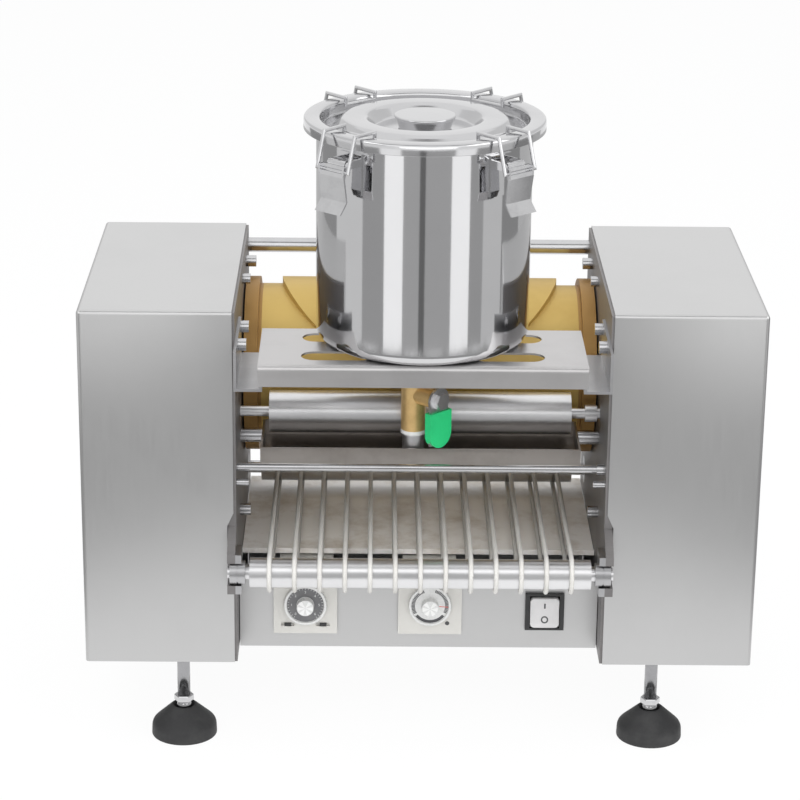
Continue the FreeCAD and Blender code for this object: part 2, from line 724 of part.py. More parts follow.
def spur_gears():
    """The drum's gear and the dip roller's gear, in mesh on the left-hand side."""
    share = nip_distance / (DRUM_GEAR_TEETH + DIP_GEAR_TEETH)
    rise = float(dip_z - drum_z)
    run = float(dip_y - drum_y)
    mesh_angle = math.degrees(math.atan2(run, -rise))
    base_x = -gear_x - S.gear_width
    drum_gear = spur_gear("drum_gear", DRUM_GEAR_TEETH, share * DRUM_GEAR_TEETH,
                          S.journal_radius + S.journal_gap, (base_x, drum_y, drum_z), mesh_angle)
    gap_angle = mesh_angle + 180 + 180 / DIP_GEAR_TEETH
    dip_gear = spur_gear("dip_gear", DIP_GEAR_TEETH, share * DIP_GEAR_TEETH,
                         S.dip_shaft + S.journal_gap, (base_x, dip_y, dip_z), gap_angle)
    sprocket_x = plate_out + S.chain_second
    bore = S.dip_shaft + S.journal_gap
    dip_sprocket = turned(
        "dip_sprocket",
        [
            (bore, sprocket_x), (S.dip_sprocket_radius, sprocket_x),
            (S.dip_sprocket_radius, sprocket_x + S.chain_width), (bore, sprocket_x + S.chain_width),
        ],
        (0, dip_y, dip_z),
        ALONG_X,
    )
    return [drum_gear, group("dip_drive_wheels", dip_gear, dip_sprocket)]


def dip_roller():
    """The roller that carries batter from the tray to the drum."""
    half = S.dip_length / 2
    left_end = -gear_x - S.gear_width
    right_end = plate_out + S.chain_second + S.chain_width
    collar_end = plate_in - 2
    profile = [
        (0, left_end), (S.dip_shaft, left_end), (S.dip_shaft, -half), (S.dip_radius, -half), (S.dip_radius, half),
        (S.dip_shaft, half), (S.dip_shaft, collar_end - S.dip_collar_width),
        (S.dip_collar, collar_end - S.dip_collar_width), (S.dip_collar, collar_end), (S.dip_shaft, collar_end),
        (S.dip_shaft, right_end), (0, right_end),
    ]
    return [turned("dip_roller", profile, (0, dip_y, dip_z), ALONG_X)]


def conveyor_rollers():
    """The front roller in its arms, and the rear roller with its sprocket."""
    half = S.roller_length / 2
    front_end = plate_out
    front_profile = [
        (0, -front_end), (S.roller_shaft, -front_end), (S.roller_shaft, -half), (S.roller_radius, -half),
        (S.roller_radius, half), (S.roller_shaft, half), (S.roller_shaft, front_end), (0, front_end),
    ]
    sprocket_x = plate_out + S.chain_second
    sprocket_end = sprocket_x + S.chain_width
    rear_profile = [
        (0, -bearing_out), (S.roller_shaft, -bearing_out), (S.roller_shaft, -half), (S.roller_radius, -half),
        (S.roller_radius, half), (S.roller_shaft, half), (S.roller_shaft, sprocket_x),
        (S.rear_sprocket_radius, sprocket_x), (S.rear_sprocket_radius, sprocket_end), (0, sprocket_end),
    ]
    return [
        turned("front_roller", front_profile, (0, front_roller_y, roller_z), ALONG_X),
        turned("rear_roller", rear_profile, (0, rear_roller_y, roller_z), ALONG_X),
    ]


def conveyor_cords():
    """Endless cords round the two rollers: two straight runs and two half turns each."""
    turn_radius = float(S.roller_radius + S.running_gap + S.cord_radius)
    fore = float(front_roller_y)
    rear = float(rear_roller_y)
    middle = float(roller_z)
    loops = []
    for i in range(CORD_COUNT):
        x = float(S.cord_pitch) * (i - (CORD_COUNT - 1) / 2)
        corners = []
        for step in range(CORD_SIDES + 1):
            angle = 2 * math.pi * step / CORD_SIDES
            across = float(S.cord_radius) * math.cos(angle)
            up = float(S.cord_radius) * math.sin(angle)
            corners.append(Vector(x + across, fore, middle + turn_radius + up))
        section = Part.Face(Part.makePolygon(corners))
        lower = section.copy()
        lower.rotate(Vector(x, fore, middle), Vector(1, 0, 0), 180)
        at_rear = section.copy()
        at_rear.translate(Vector(0, rear - fore, 0))
        run = Vector(0, rear - fore, 0)
        pieces = [
            lower.extrude(run),
            section.revolve(Vector(x, fore, middle), Vector(1, 0, 0), 180),
            at_rear.revolve(Vector(x, rear, middle), Vector(1, 0, 0), -180),
        ]
        loops.append(section.extrude(run).fuse(pieces).removeSplitter())
    return [shaped("conveyor_cords", Part.makeCompound(loops))]


def shaft_bearings():
    """Flanged bearings in the side plates, and the front roller's bearings with the pads of their forks."""
    pieces = []
    for name, y, z, shaft in (
        ("drum_bearing", drum_y, drum_z, S.journal_radius),
        ("dip_bearing", dip_y, dip_z, S.dip_shaft),
        ("rear_bearing", rear_roller_y, roller_z, S.roller_shaft),
    ):
        bore = shaft + S.journal_gap
        seat = shaft + S.bearing_wall
        rim = seat + S.flange_rim
        profile = [(bore, plate_in), (seat, plate_in), (seat, plate_out), (rim, plate_out), (rim, bearing_out),
                   (bore, bearing_out)]
        right = turned(f"{name}_right", profile, (0, y, z), ALONG_X)
        pieces += [right, mirrored(f"{name}_left", right)]
    high = plate_out - S.fork_inset
    low = high - S.fork_width
    groove = (low + high) / 2
    bore = S.roller_shaft + S.journal_gap
    outer = S.fork_bearing
    profile = [(bore, low), (outer, low), (outer, groove - 0.5), (outer - 0.6, groove - 0.5),
               (outer - 0.6, groove + 0.5), (outer, groove + 0.5), (outer, high), (bore, high)]
    right = turned("fork_bearing_right", profile, (0, front_roller_y, roller_z), ALONG_X)
    pieces += [right, mirrored("fork_bearing_left", right)]
    inner = plate_in - S.fork_pad
    blank = block("fork_pad_blank", (inner, front_roller_y - S.fork_fore, roller_z - S.fork_half),
                  (plate_in, front_roller_y + S.fork_half, roller_z + S.fork_half))
    seat = rod("fork_pad_seat", (inner - 1, front_roller_y, roller_z), S.fork_pad + 2, outer + S.seat_gap, ALONG_X)
    right = cut("fork_pad_right", blank, seat, fork_mouth("fork_pad", inner, plate_in))
    pieces += [right, mirrored("fork_pad_left", right)]
    return [group("shaft_bearings", *pieces)]


def chain_loop(name, x, first, second):
    """A chain as a plain band round two sprockets: each is (y, z, radius)."""
    def hull(margin):
        (y1, z1, r1), (y2, z2, r2) = [(float(y), float(z), float(r) + margin) for y, z, r in (first, second)]
        distance = math.hypot(y2 - y1, z2 - z1)
        heading = math.atan2(z2 - z1, y2 - y1)
        swing = math.acos((r1 - r2) / distance)

        def spot(y, z, radius, angle):
            return Vector(x, y + radius * math.cos(angle), z + radius * math.sin(angle))

        upper, lower = heading + swing, heading - swing
        edges = [
            Part.makeLine(spot(y1, z1, r1, upper), spot(y2, z2, r2, upper)),
            Part.Arc(spot(y2, z2, r2, upper), spot(y2, z2, r2, heading), spot(y2, z2, r2, lower)).toShape(),
            Part.makeLine(spot(y2, z2, r2, lower), spot(y1, z1, r1, lower)),
            Part.Arc(spot(y1, z1, r1, lower), spot(y1, z1, r1, heading + math.pi), spot(y1, z1, r1, upper)).toShape(),
        ]
        return Part.Face(Part.Wire(edges)).extrude(Vector(float(S.chain_width), 0, 0))

    inner = float(S.running_gap)
    return shaped(name, hull(inner + float(S.chain_thick)).cut(hull(inner)))


def drive():
    """The gearmotor on its base plate, its sprocket, both chains and the brush holder."""
    box_x = plate_out + S.chain_second + S.chain_width + 2
    foot_top = motor_z - S.gearbox_half
    gearbox = block(
        "gearbox",
        (box_x, motor_y - S.gearbox_half, foot_top),
        (box_x + S.gearbox_length, motor_y + S.gearbox_half, motor_z + S.gearbox_half),
    )
    stand = block(
        "gearbox_stand",
        (box_x + 2, motor_y - S.gearbox_half - 6, S.lift + S.base_thick),
        (box_x + S.gearbox_length - 2, motor_y + S.gearbox_half + 6, foot_top),
    )
    motor = rod("motor_case", (box_x + S.gearbox_length, motor_y, motor_z), S.motor_length, S.motor_radius, ALONG_X)
    socket_depth = 12
    socket = rod("gearbox_socket", (box_x - 1, motor_y, motor_z), socket_depth + 1,
                 S.motor_shaft + S.journal_gap, ALONG_X)
    gearmotor = cut("gearmotor", fuse("gearmotor_body", gearbox, stand, motor), socket)
    sprocket_x = plate_out + S.chain_first
    shaft_end = box_x + socket_depth - 0.5
    motor_sprocket = turned(
        "motor_sprocket",
        [
            (0, sprocket_x), (S.motor_sprocket_radius, sprocket_x),
            (S.motor_sprocket_radius, sprocket_x + S.chain_width), (S.motor_shaft, sprocket_x + S.chain_width),
            (S.motor_shaft, shaft_end), (0, shaft_end),
        ],
        (0, motor_y, motor_z),
        ALONG_X,
    )
    chains = group(
        "drive_chains",
        chain_loop("drum_chain", float(sprocket_x), (motor_y, motor_z, S.motor_sprocket_radius),
                   (drum_y, drum_z, S.drum_sprocket_radius)),
        chain_loop("conveyor_chain", float(plate_out + S.chain_second), (dip_y, dip_z, S.dip_sprocket_radius),
                   (rear_roller_y, roller_z, S.rear_sprocket_radius)),
    )
    arm_x = gear_x + S.gear_width + 2
    arm_end = arm_x + S.slip_width * 2 + 6
    post = rod("brush_post", (-arm_end, drum_y, drum_z + S.brush_rise), arm_end - plate_out, 5, ALONG_X)
    arm = block(
        "brush_arm",
        (-arm_end, drum_y - 6, drum_z + S.slip_radius + S.running_gap),
        (-arm_x, drum_y + 6, drum_z + S.brush_rise + 6),
    )
    return [gearmotor, motor_sprocket, chains, fuse("brush_block", post, arm)]


def batter_tray():
    """An open sheet tray under the dip roller."""
    half = S.tray_length / 2
    low = S.lift + S.tray_up
    high = low + S.tray_height
    fore = dip_y - S.tray_fore
    rear = dip_y + S.dip_radius + S.tray_rear
    blank = block("tray_blank", (-half, fore, low), (half, rear, high))
    hollow = block(
        "tray_hollow",
        (S.tray_sheet - half, fore + S.tray_sheet, low + S.tray_sheet),
        (half - S.tray_sheet, rear - S.tray_sheet, high + 1),
    )
    return [cut("batter_tray", blank, hollow)]


def bucket_shelf():
    """A folded shelf with four long slots and a notch for the valve, on two channel rails."""
    half = plate_in - S.shelf_side_gap
    rear = shelf_y + S.shelf_depth
    under = shelf_z - S.shelf_sheet
    profile = [
        (shelf_y, shelf_z), (rear, shelf_z), (rear, under), (shelf_y + S.shelf_sheet, under),
        (shelf_y + S.shelf_sheet, shelf_z - S.shelf_flange), (shelf_y, shelf_z - S.shelf_flange),
    ]
    blank = extruded("shelf_blank", "YZ_Plane", profile, half * 2, middle=True)

    def bend(y, z):
        def wanted(edge):
            box = edge.BoundBox
            return box.XLength > 1 and abs(box.YMax - float(y)) < 0.01 and abs(box.ZMax - float(z)) < 0.01
        return wanted

    rounded(blank, S.shelf_bend, bend(shelf_y, shelf_z))
    rounded(blank, S.shelf_bend - S.shelf_sheet, bend(shelf_y + S.shelf_sheet, under))
    slot_radius = S.slot_width / 2
    straight = S.slot_length - S.slot_width
    tools = []
    for i, y in enumerate((shelf_y + S.slot_first, shelf_y + S.slot_first + S.slot_step)):
        for side in (-1, 1):
            outer = (S.slot_reach - slot_radius) * side
            inner = outer - straight * side
            low_x = inner if side > 0 else outer
            name = f"slot_{i}_{'right' if side > 0 else 'left'}"
            tools.append(block(f"{name}_middle", (low_x, y - slot_radius, under - 1),
                               (low_x + straight, y + slot_radius, shelf_z + 1)))
            for end, x in (("inner", inner), ("outer", outer)):
                tools.append(rod(f"{name}_{end}", (x, y, under - 1), S.shelf_sheet + 2, slot_radius, ALONG_Z))
    notch = S.valve_radius + 3
    tools.append(rod("valve_notch_end", (S.valve_side, bucket_y, under - 1), S.shelf_sheet + 2, notch, ALONG_Z))
    tools.append(block("valve_notch_mouth", (S.valve_side - notch, bucket_y, under - 1),
                       (S.valve_side + notch, rear + 1, shelf_z + 1)))
    shelf = cut("bucket_shelf", blank, *tools)
    inner = half - 3
    low = shelf_z - S.shelf_sheet - S.rail_depth
    rail = extruded(
        "shelf_rail_right",
        "XZ_Plane",
        [
            (inner, low), (plate_in, low), (plate_in, shelf_z + S.rail_upstand),
            (plate_in - S.rail_sheet, shelf_z + S.rail_upstand), (plate_in - S.rail_sheet, low + S.rail_sheet),
            (inner + S.rail_sheet, low + S.rail_sheet), (inner + S.rail_sheet, under), (inner, under),
        ],
        S.shelf_depth - S.shelf_sheet - 2,
        (0, rear, 0),
    )
    return [shelf, group("shelf_rails", rail, mirrored("shelf_rail_left", rail))]


def bucket_and_lid():
    """The batter bucket, its gasket, its lid with a trough and crown, and the lid's knob."""
    t = S.bucket_sheet
    wall = S.bucket_radius
    rim = S.ring_radius - t - S.plug_gap
    height = S.bucket_height
    body = turned(
        "bucket_body",
        [
            (0, 0), (wall, 0), (wall, height - t), (rim, height - t), (rim, height), (wall - t, height),
            (wall - t, S.bucket_corner), (wall - S.bucket_corner, t), (0, t),
        ],
        (0, bucket_y, shelf_z),
    )

    def lower_edge(edge):
        box = edge.BoundBox
        return abs(box.XMax - float(wall)) < 0.01 and abs(box.ZMax) < 0.01 and box.ZLength < 0.01

    rounded(body, S.bucket_corner, lower_edge)
    outlet = rod("bucket_outlet", (S.valve_side, bucket_y, shelf_z - 1), t + 2, S.valve_bore + 2, ALONG_Z)
    bucket = cut("bucket", body, outlet)
    seal_low = shelf_z + height
    gasket = turned(
        "lid_gasket",
        [(wall, 0), (rim, 0), (rim, S.gasket_thick), (wall, S.gasket_thick)],
        (0, bucket_y, seal_low),
    )
    plug = wall - t - S.plug_gap
    trough = plug - S.trough_depth
    lid = turned(
        "lid",
        [
            (0, -S.dish_depth), (S.dish_radius, -S.dish_depth), (S.dish_radius + 6.5, -0.5), (S.crown_radius, -0.5),
            (trough - 1, -S.trough_depth), (plug - t, -S.trough_depth), (plug - t, 0), (S.ring_radius, 0),
            (S.ring_radius, -S.skirt_height), (S.ring_radius - t, -S.skirt_height), (S.ring_radius - t, -t),
            (plug, -t), (plug, -t - S.trough_depth), (trough - 1 - t, -t - S.trough_depth),
            (S.crown_radius - t, -0.5 - t), (S.dish_radius + 6.5 + t, -0.5 - t), (S.dish_radius + t, -t - S.dish_depth),
            (0, -t - S.dish_depth),
        ],
        (0, bucket_y, lid_z),
    )
    knob = turned(
        "lid_knob",
        [
            (0, -S.dish_depth), (S.knob_radius - 3.5, -S.dish_depth), (S.knob_radius - 0.5, S.knob_rise - 2),
            (S.knob_radius, S.knob_rise - 1.5), (S.knob_radius, S.knob_rise), (0, S.knob_rise),
        ],
        (0, bucket_y, lid_z),
    )
    return [bucket, gasket, lid, knob]


def latch_places():
    """Each latch's name and its turn about the bucket's axis, from the front."""
    angle = float(S.latch_angle)
    return [
        ("front_left", -angle),
        ("front_right", angle),
        ("rear_left", angle - 180),
        ("rear_right", 180 - angle),
    ]


def latches():
    """Toggle latches: a bracket with a pin, a lever on the pin, and a wire bail on the lever.

    Each is drawn at the front of the bucket, with its radial direction along minus Y.
    """
    hinge = S.ring_radius + S.latch_out
    hinge_z = lid_z - S.latch_drop
    t = S.latch_sheet
    half = S.latch_width / 2
    knuckle = half - 4.5
    ear = S.latch_pin + 1.3
    bracket_low = hinge_z - S.bracket_drop
    tall = S.bracket_drop + S.bracket_rise
    brackets = []
    levers = []
    bails = []
    for name, angle in latch_places():
        spot = Rotation(Vector(0, 0, 1), angle)
        axis = (0, bucket_y, 0)
        shell = cut(
            f"bracket_shell_{name}",
            rod(f"bracket_outer_{name}", (0, 0, bracket_low), tall, S.bucket_radius + t, ALONG_Z),
            rod(f"bracket_inner_{name}", (0, 0, bracket_low - 1), tall + 2, S.bucket_radius + S.journal_gap, ALONG_Z),
        )
        patch = doc.addObject("Part::Common", f"bracket_patch_{name}")
        patch.Base = shell
        patch.Tool = block(f"bracket_window_{name}", (-half + 2, -hinge, bracket_low),
                           (half - 2, 0, bracket_low + tall))
        ears = []
        for side, edge in (("left", -knuckle - S.running_gap - t), ("right", knuckle + S.running_gap)):
            ears.append(block(f"ear_{side}_{name}", (edge, -hinge, hinge_z - ear),
                              (edge + t, -S.bucket_radius - 0.1, hinge_z + ear)))
            ears.append(rod(f"ear_end_{side}_{name}", (edge, -hinge, hinge_z), t, ear, ALONG_X))
        pin_half = knuckle + S.running_gap + t
        pin = rod(f"latch_pin_{name}", (-pin_half, -hinge, hinge_z), pin_half * 2, S.latch_pin, ALONG_X)
        brackets.append(place(fuse(f"latch_bracket_{name}", patch, pin, *ears), axis, spot))

        knee, shin, lip = (7.5, 7), (4.5, 25), (11, 33)
        path = [(3.1, 0), knee, shin, lip]
        corners = [(-hinge - out, hinge_z - down) for out, down in path]
        corners += [(-hinge - out - t, hinge_z - down) for out, down in reversed(path)]
        plate = extruded(f"lever_plate_{name}", "YZ_Plane", corners, S.latch_width, middle=True)
        cheeks = []
        cheek = [(4.5, 0), (8.6, 0), (9, 6), (7.5, 9), (6.5, 6)]
        for side, low in (("left", -half), ("right", half - t)):
            cheeks.append(extruded(f"cheek_{side}_{name}", "YZ_Plane",
                                   [(-hinge - out, hinge_z - down) for out, down in cheek], t, (low, 0, 0)))
        roll = rod(f"lever_roll_{name}", (-knuckle, -hinge, hinge_z), knuckle * 2, S.latch_pin + 2, ALONG_X)
        pin_bore = rod(f"lever_bore_{name}", (-half, -hinge, hinge_z), S.latch_width,
                       S.latch_pin + S.journal_gap, ALONG_X)
        pivot = (hinge + 7, hinge_z - 3)
        pivot_bore = rod(f"pivot_bore_{name}", (-half - 1, -pivot[0], pivot[1]), S.latch_width + 2,
                         S.bail_radius + S.journal_gap, ALONG_X)
        lever = cut(f"latch_lever_{name}", fuse(f"lever_body_{name}", plate, roll, *cheeks), pin_bore, pivot_bore)
        levers.append(place(lever, axis, spot))

        leg = half + S.bail_radius + 1
        bar = S.ring_radius - S.bail_in
        outside = S.ring_radius + S.bail_radius + 1.9
        route = [
            (half - t, pivot[0], pivot[1]),
            (leg, pivot[0], pivot[1]),
            (leg, outside, lid_z + S.bail_over),
            (leg, bar, lid_z + S.bail_over),
            (leg, bar, lid_z - S.bail_dip),
        ]
        right = [Vector(float(x), -float(out), float(z)) for x, out, z in route]
        left = [Vector(-spot_on.x, spot_on.y, spot_on.z) for spot_on in reversed(right)]
        bail = shaped(f"latch_bail_{name}", bent_wire(right + left, float(S.bail_radius)))
        bails.append(place(bail, axis, spot))
    return [group("latch_brackets", *brackets), *levers, *bails]


def valve():
    """The brass ball valve under the bucket, its washer, nozzle, lever and grip."""
    x = S.valve_side
    under = shelf_z
    stem_z = under - S.stem_drop
    low = under - S.valve_length
    neck = rod("valve_neck", (x, bucket_y, under - 6), 6 + S.bucket_sheet, S.valve_bore + 1.8, ALONG_Z)
    hexes = hexagon("valve_hexagon", (x, bucket_y, under - S.valve_flats), S.valve_flats, S.valve_radius + 1.2, ALONG_Z)
    sleeve = rod("valve_sleeve", (x, bucket_y, low), S.valve_length - S.sleeve_drop, S.valve_radius, ALONG_Z)
    turn = Rotation(Vector(0, 0, 1), STEM_TURN)
    outward = turn.multiply(FACING_FRONT)
    spot = (x, bucket_y, stem_z)
    boss_end = S.valve_radius + S.stem_reach
    boss = rod("valve_boss", spot, boss_end, S.stem_radius + 3, outward)
    passage = rod("valve_passage", (x, bucket_y, low - 1), S.valve_length + 4, S.valve_bore, ALONG_Z)
    stem_bore = rod("valve_stem_bore", spot, boss_end + 1, S.stem_radius + S.journal_gap, outward)
    body = cut("valve_body", fuse("valve_casting", neck, hexes, sleeve, boss), passage, stem_bore)
    washer = turned(
        "valve_washer",
        [(S.valve_bore, -S.washer_thick), (S.nozzle_radius + 1.2, -S.washer_thick), (S.nozzle_radius + 1.2, 0),
         (S.valve_bore, 0)],
        (x, bucket_y, low),
    )
    nozzle_top = low - S.washer_thick
    nozzle = turned(
        "nozzle",
        [(S.valve_bore, -S.nozzle_length), (S.nozzle_radius, -S.nozzle_length), (S.nozzle_radius, 0),
         (S.valve_bore, 0)],
        (x, bucket_y, nozzle_top),
    )
    plate_y = -boss_end - S.running_gap
    half = S.lever_width / 2
    inner_end = S.valve_bore - S.stem_radius
    stem = rod("lever_stem", (0, inner_end, 0), boss_end + inner_end + S.lever_sheet + 3, S.stem_radius, FACING_FRONT)
    hub = rod("lever_hub", (0, plate_y, 0), S.lever_sheet, half + 1, FACING_FRONT)
    strip = block("lever_strip", (-half, plate_y - S.lever_sheet, -S.lever_length), (half, plate_y, 0))
    nut = hexagon("lever_nut", (0, plate_y - S.lever_sheet, 0), 4, S.stem_radius + 2.4, FACING_FRONT)
    lever = place(fuse("valve_lever", stem, hub, strip, nut), spot, turn)
    wall = S.grip_wall
    tip = -S.lever_length - wall
    top = tip + S.grip_length
    sleeve_y = plate_y + wall
    depth = S.lever_sheet + wall * 2
    round_z = tip + half + wall
    flat = block("grip_flat", (-half - wall, sleeve_y - depth, round_z), (half + wall, sleeve_y, top))
    tail = rod("grip_tail", (0, sleeve_y, round_z), depth, half + wall, FACING_FRONT)
    pocket = block(
        "grip_pocket",
        (-half - S.journal_gap, plate_y - S.lever_sheet - S.journal_gap, -S.lever_length - S.journal_gap),
        (half + S.journal_gap, plate_y + S.journal_gap, top + 1),
    )
    grip = place(cut("valve_grip", fuse("grip_blank", flat, tail), pocket), spot, turn)
    return [body, washer, nozzle, lever, grip]


def control_panel():
    """The control box: a folded sheet with openings for the instruments and the switch."""
    t = S.panel_sheet
    high = S.panel_height
    width = S.plate_gap - S.panel_side_gap * 2
    deep = S.box_depth
    profile = [
        (0, 0), (deep, 0), (deep, high), (deep - t, high), (deep - t, t), (t, t), (t, high - t), (20, high - t),
        (20, high), (0, high),
    ]
    folded = extruded("panel_fold", "YZ_Plane", profile, width, (0, panel_y, S.lift), middle=True)
    opening = S.meter_body / 2 + S.seat_gap
    key = S.rocker_frame / 2 - 2 + S.seat_gap
    tools = []
    for name, x, up, half in (
        ("timer", S.timer_side, S.meter_up, opening),
        ("thermostat", S.thermostat_side, S.meter_up, opening),
        ("rocker", S.rocker_side, S.rocker_up, key),
    ):
        z = S.lift + up
        tools.append(block(f"{name}_opening", (x - half, panel_y - 1, z - half), (x + half, panel_y + t + 1, z + half)))
    return [cut("control_panel", folded, *tools)]


def instrument(name, x):
    """A panel instrument: a bezel and case, and a dial that turns on its spindle."""
    z = S.lift + S.meter_up
    side = S.meter_side / 2
    case = S.meter_body / 2
    face = panel_y - S.meter_bezel
    bezel = block(f"{name}_bezel", (x - side, face, z - side), (x + side, panel_y, z + side))
    body = block(f"{name}_case", (x - case, panel_y - 1, z - case), (x + case, panel_y + S.meter_depth, z + case))
    bore_depth = 8
    bore = rod(f"{name}_bore", (x, face + bore_depth, z), bore_depth + 1, S.dial_spindle + S.journal_gap,
               FACING_FRONT)
    reach = S.running_gap + S.dial_thick
    dial = turned(
        f"{name}_dial",
        [
            (0, 0.5 - bore_depth), (S.dial_spindle, 0.5 - bore_depth), (S.dial_spindle, S.running_gap),
            (S.dial_radius, S.running_gap), (S.dial_radius, reach), (S.dial_radius - S.dial_rim, reach),
            (S.dial_radius - S.dial_rim, reach - 1.5), (S.dial_knob, reach - 1.5), (S.dial_knob, reach + 5),
            (0, reach + 5),
        ],
        (x, face, z),
        FACING_FRONT,
    )
    return fuse(f"{name}_shell", bezel, body), bore, dial, face, z


def instruments():
    """The timer with its two selector sliders, and the thermostat."""
    shell, bore, timer_dial, face, z = instrument("timer", S.timer_side)
    sliders = []
    tracks = []
    for side, sign in (("left", -1), ("right", 1)):
        x = S.timer_side + S.slider_side * sign
        low = z - S.meter_side / 2 + S.slider_up
        half = S.slider_length / 2
        sliders.append(block(f"timer_selector_{side}", (x - half, face - 1.5, low + S.running_gap),
                             (x + half, face + 1.5, low + 2.5)))
        tracks.append(block(f"selector_track_{side}", (x - half - 2.5, face - 1, low),
                            (x + half + 2.5, face + 1.5 + S.running_gap, low + 2.5 + S.running_gap)))
    timer_housing = cut("timer_housing", shell, bore, *tracks)
    shell, bore, thermostat_dial, _, _ = instrument("thermostat", S.thermostat_side)
    thermostat_housing = cut("thermostat_housing", shell, bore)
    return [timer_housing, timer_dial, *sliders, thermostat_housing, thermostat_dial]


def rocker_switch():
    """The mains switch: a frame, and a rocker on a cross pin."""
    x = S.rocker_side
    z = S.lift + S.rocker_up
    side = S.rocker_frame / 2
    case = side - 2
    face = panel_y - S.rocker_lip
    high = S.rocker_height / 2
    wide = S.rocker_width / 2
    lip = block("rocker_lip", (x - side, face, z - side), (x + side, panel_y, z + side))
    body = block("rocker_case", (x - case, panel_y - 1, z - case), (x + case, panel_y + S.rocker_case, z + case))
    window = block(
        "rocker_window",
        (x - wide - S.running_gap, face - 1, z - high - 1.2),
        (x + wide + S.running_gap, panel_y + 9, z + high + 1.2),
    )
    axis_y = panel_y + 3
    pin = S.stem_radius / 2
    holes = rod("rocker_pin_holes", (x - case + 0.5, axis_y, z), case * 2 - 1, pin + S.journal_gap, ALONG_X)
    frame = cut("rocker_frame", fuse("rocker_shell", lip, body), window, holes)
    cap = extruded(
        "rocker_cap",
        "YZ_Plane",
        [
            (face - 2.2 - axis_y, -high), (face - axis_y, 0), (face - 2.2 - axis_y, high), (1.5, high), (5, 3),
            (5, -3), (1.5, -high),
        ],
        S.rocker_width,
        (x, axis_y, z),
        middle=True,
    )
    pin_half = wide + S.running_gap + 0.8
    rocker_pin = rod("rocker_pin", (x - pin_half, axis_y, z), pin_half * 2, pin, ALONG_X)
    return [frame, fuse("rocker", cap, rocker_pin)]


def drip_pan():
    """A stained sheet pan under the conveyor cords, with a folded front lip."""
    t = S.pan_sheet
    fore = front + S.pan_fore_back
    rear = plate_rear - 2
    profile = [
        (fore, pan_z), (rear, pan_z), (rear, pan_z + t), (fore + t, pan_z + t), (fore + t, pan_z + S.pan_lip),
        (fore, pan_z + S.pan_lip),
    ]
    width = S.plate_gap - S.panel_side_gap * 2
    return [extruded("drip_pan", "YZ_Plane", profile, width, middle=True)]


def frame_bolts():
    """Bolt heads on the inner faces of the side plates, pins, and the tray's posts."""
    rail_z = shelf_z + S.rail_bolt_up
    upper_z = S.lift + S.upper_bolt_up
    heads = [
        ("rail_front", front + S.rail_bolt, rail_z, S.bolt_head, S.bolt_radius, S.rail_sheet),
        ("rail_rear", front + S.rail_bolt + S.rail_bolt_step, rail_z, S.bolt_head, S.bolt_radius, S.rail_sheet),
        ("upper_rear", front + S.upper_bolt + S.upper_bolt_step, upper_z, S.bolt_head + 2, S.bolt_radius, 0),
        ("upper_front", front + S.upper_bolt, upper_z + 3, S.bolt_head, S.bolt_radius - 0.5, 0),
        ("pan_side", front + S.side_bolt, S.lift + S.side_bolt_up, S.bolt_head + 2, S.bolt_radius, 0),
        ("guide_pin", guide_y - 8, guide_z - 9, S.bolt_head + 3, S.guide_radius - 0.5, 0),
    ]
    pieces = []
    for name, y, z, length, radius, seat in heads:
        right = rod(f"bolt_{name}_right", (plate_in - seat - length, y, z), length, radius, ALONG_X)
        pieces += [right, mirrored(f"bolt_{name}_left", right)]
    post_x = S.tray_length / 2
    post = rod("tray_post_right", (post_x, dip_y, S.lift + S.tray_up + S.tray_height / 2),
               plate_in - post_x, S.post_radius, ALONG_X)
    pieces += [post, mirrored("tray_post_left", post)]
    return [group("frame_bolts", *pieces)]


def cable_gland():
    """The mains inlet gland at the back of the right-hand cover."""
    spot = (S.foot_side, cover_back, S.lift + S.gland_up)
    collar = hexagon("gland_collar", spot, S.gland_reach / 2, S.gland_radius, ALONG_Y)
    nose = rod("gland_nose", spot, S.gland_reach, S.gland_radius * 0.72, ALONG_Y)
    bore = rod("gland_bore", spot, S.gland_reach + 1, S.gland_radius * 0.38, ALONG_Y)
    return [cut("cable_gland", fuse("gland_body", collar, nose), bore)]


def build():
    """Every sub-part, checked and written to its own file."""
    pieces = []
    for make in (
        side_plates, side_covers, base_plates, feet, cross_bars, drum, spur_gears, dip_roller, conveyor_rollers,
        conveyor_cords, shaft_bearings, drive, batter_tray, bucket_shelf, bucket_and_lid, latches, valve,
        control_panel, instruments, rocker_switch, drip_pan, frame_bolts, cable_gland,
    ):
        pieces += make()
    doc.recompute()
    for item in doc.Objects:
        if "Invalid" in item.State or "Error" in item.State:
            raise RuntimeError(f"{item.Name} failed: {item.State}")
    os.makedirs("parts", exist_ok=True)
    for piece in pieces:
        piece.Label = piece.Name
        if piece.Shape.isNull() or not piece.Shape.isValid() or not piece.Shape.Solids:
            raise RuntimeError(f"{piece.Name} has no valid solid")
        piece.Shape.exportStep(f"parts/{piece.Name}.step")


build()
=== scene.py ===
"""Looks for the crepe drum machine: smooth turned pieces, round cords, dial marks, finishes, studio."""
import math

import bmesh
import bpy
import numpy as np
from mathutils import Matrix, Vector


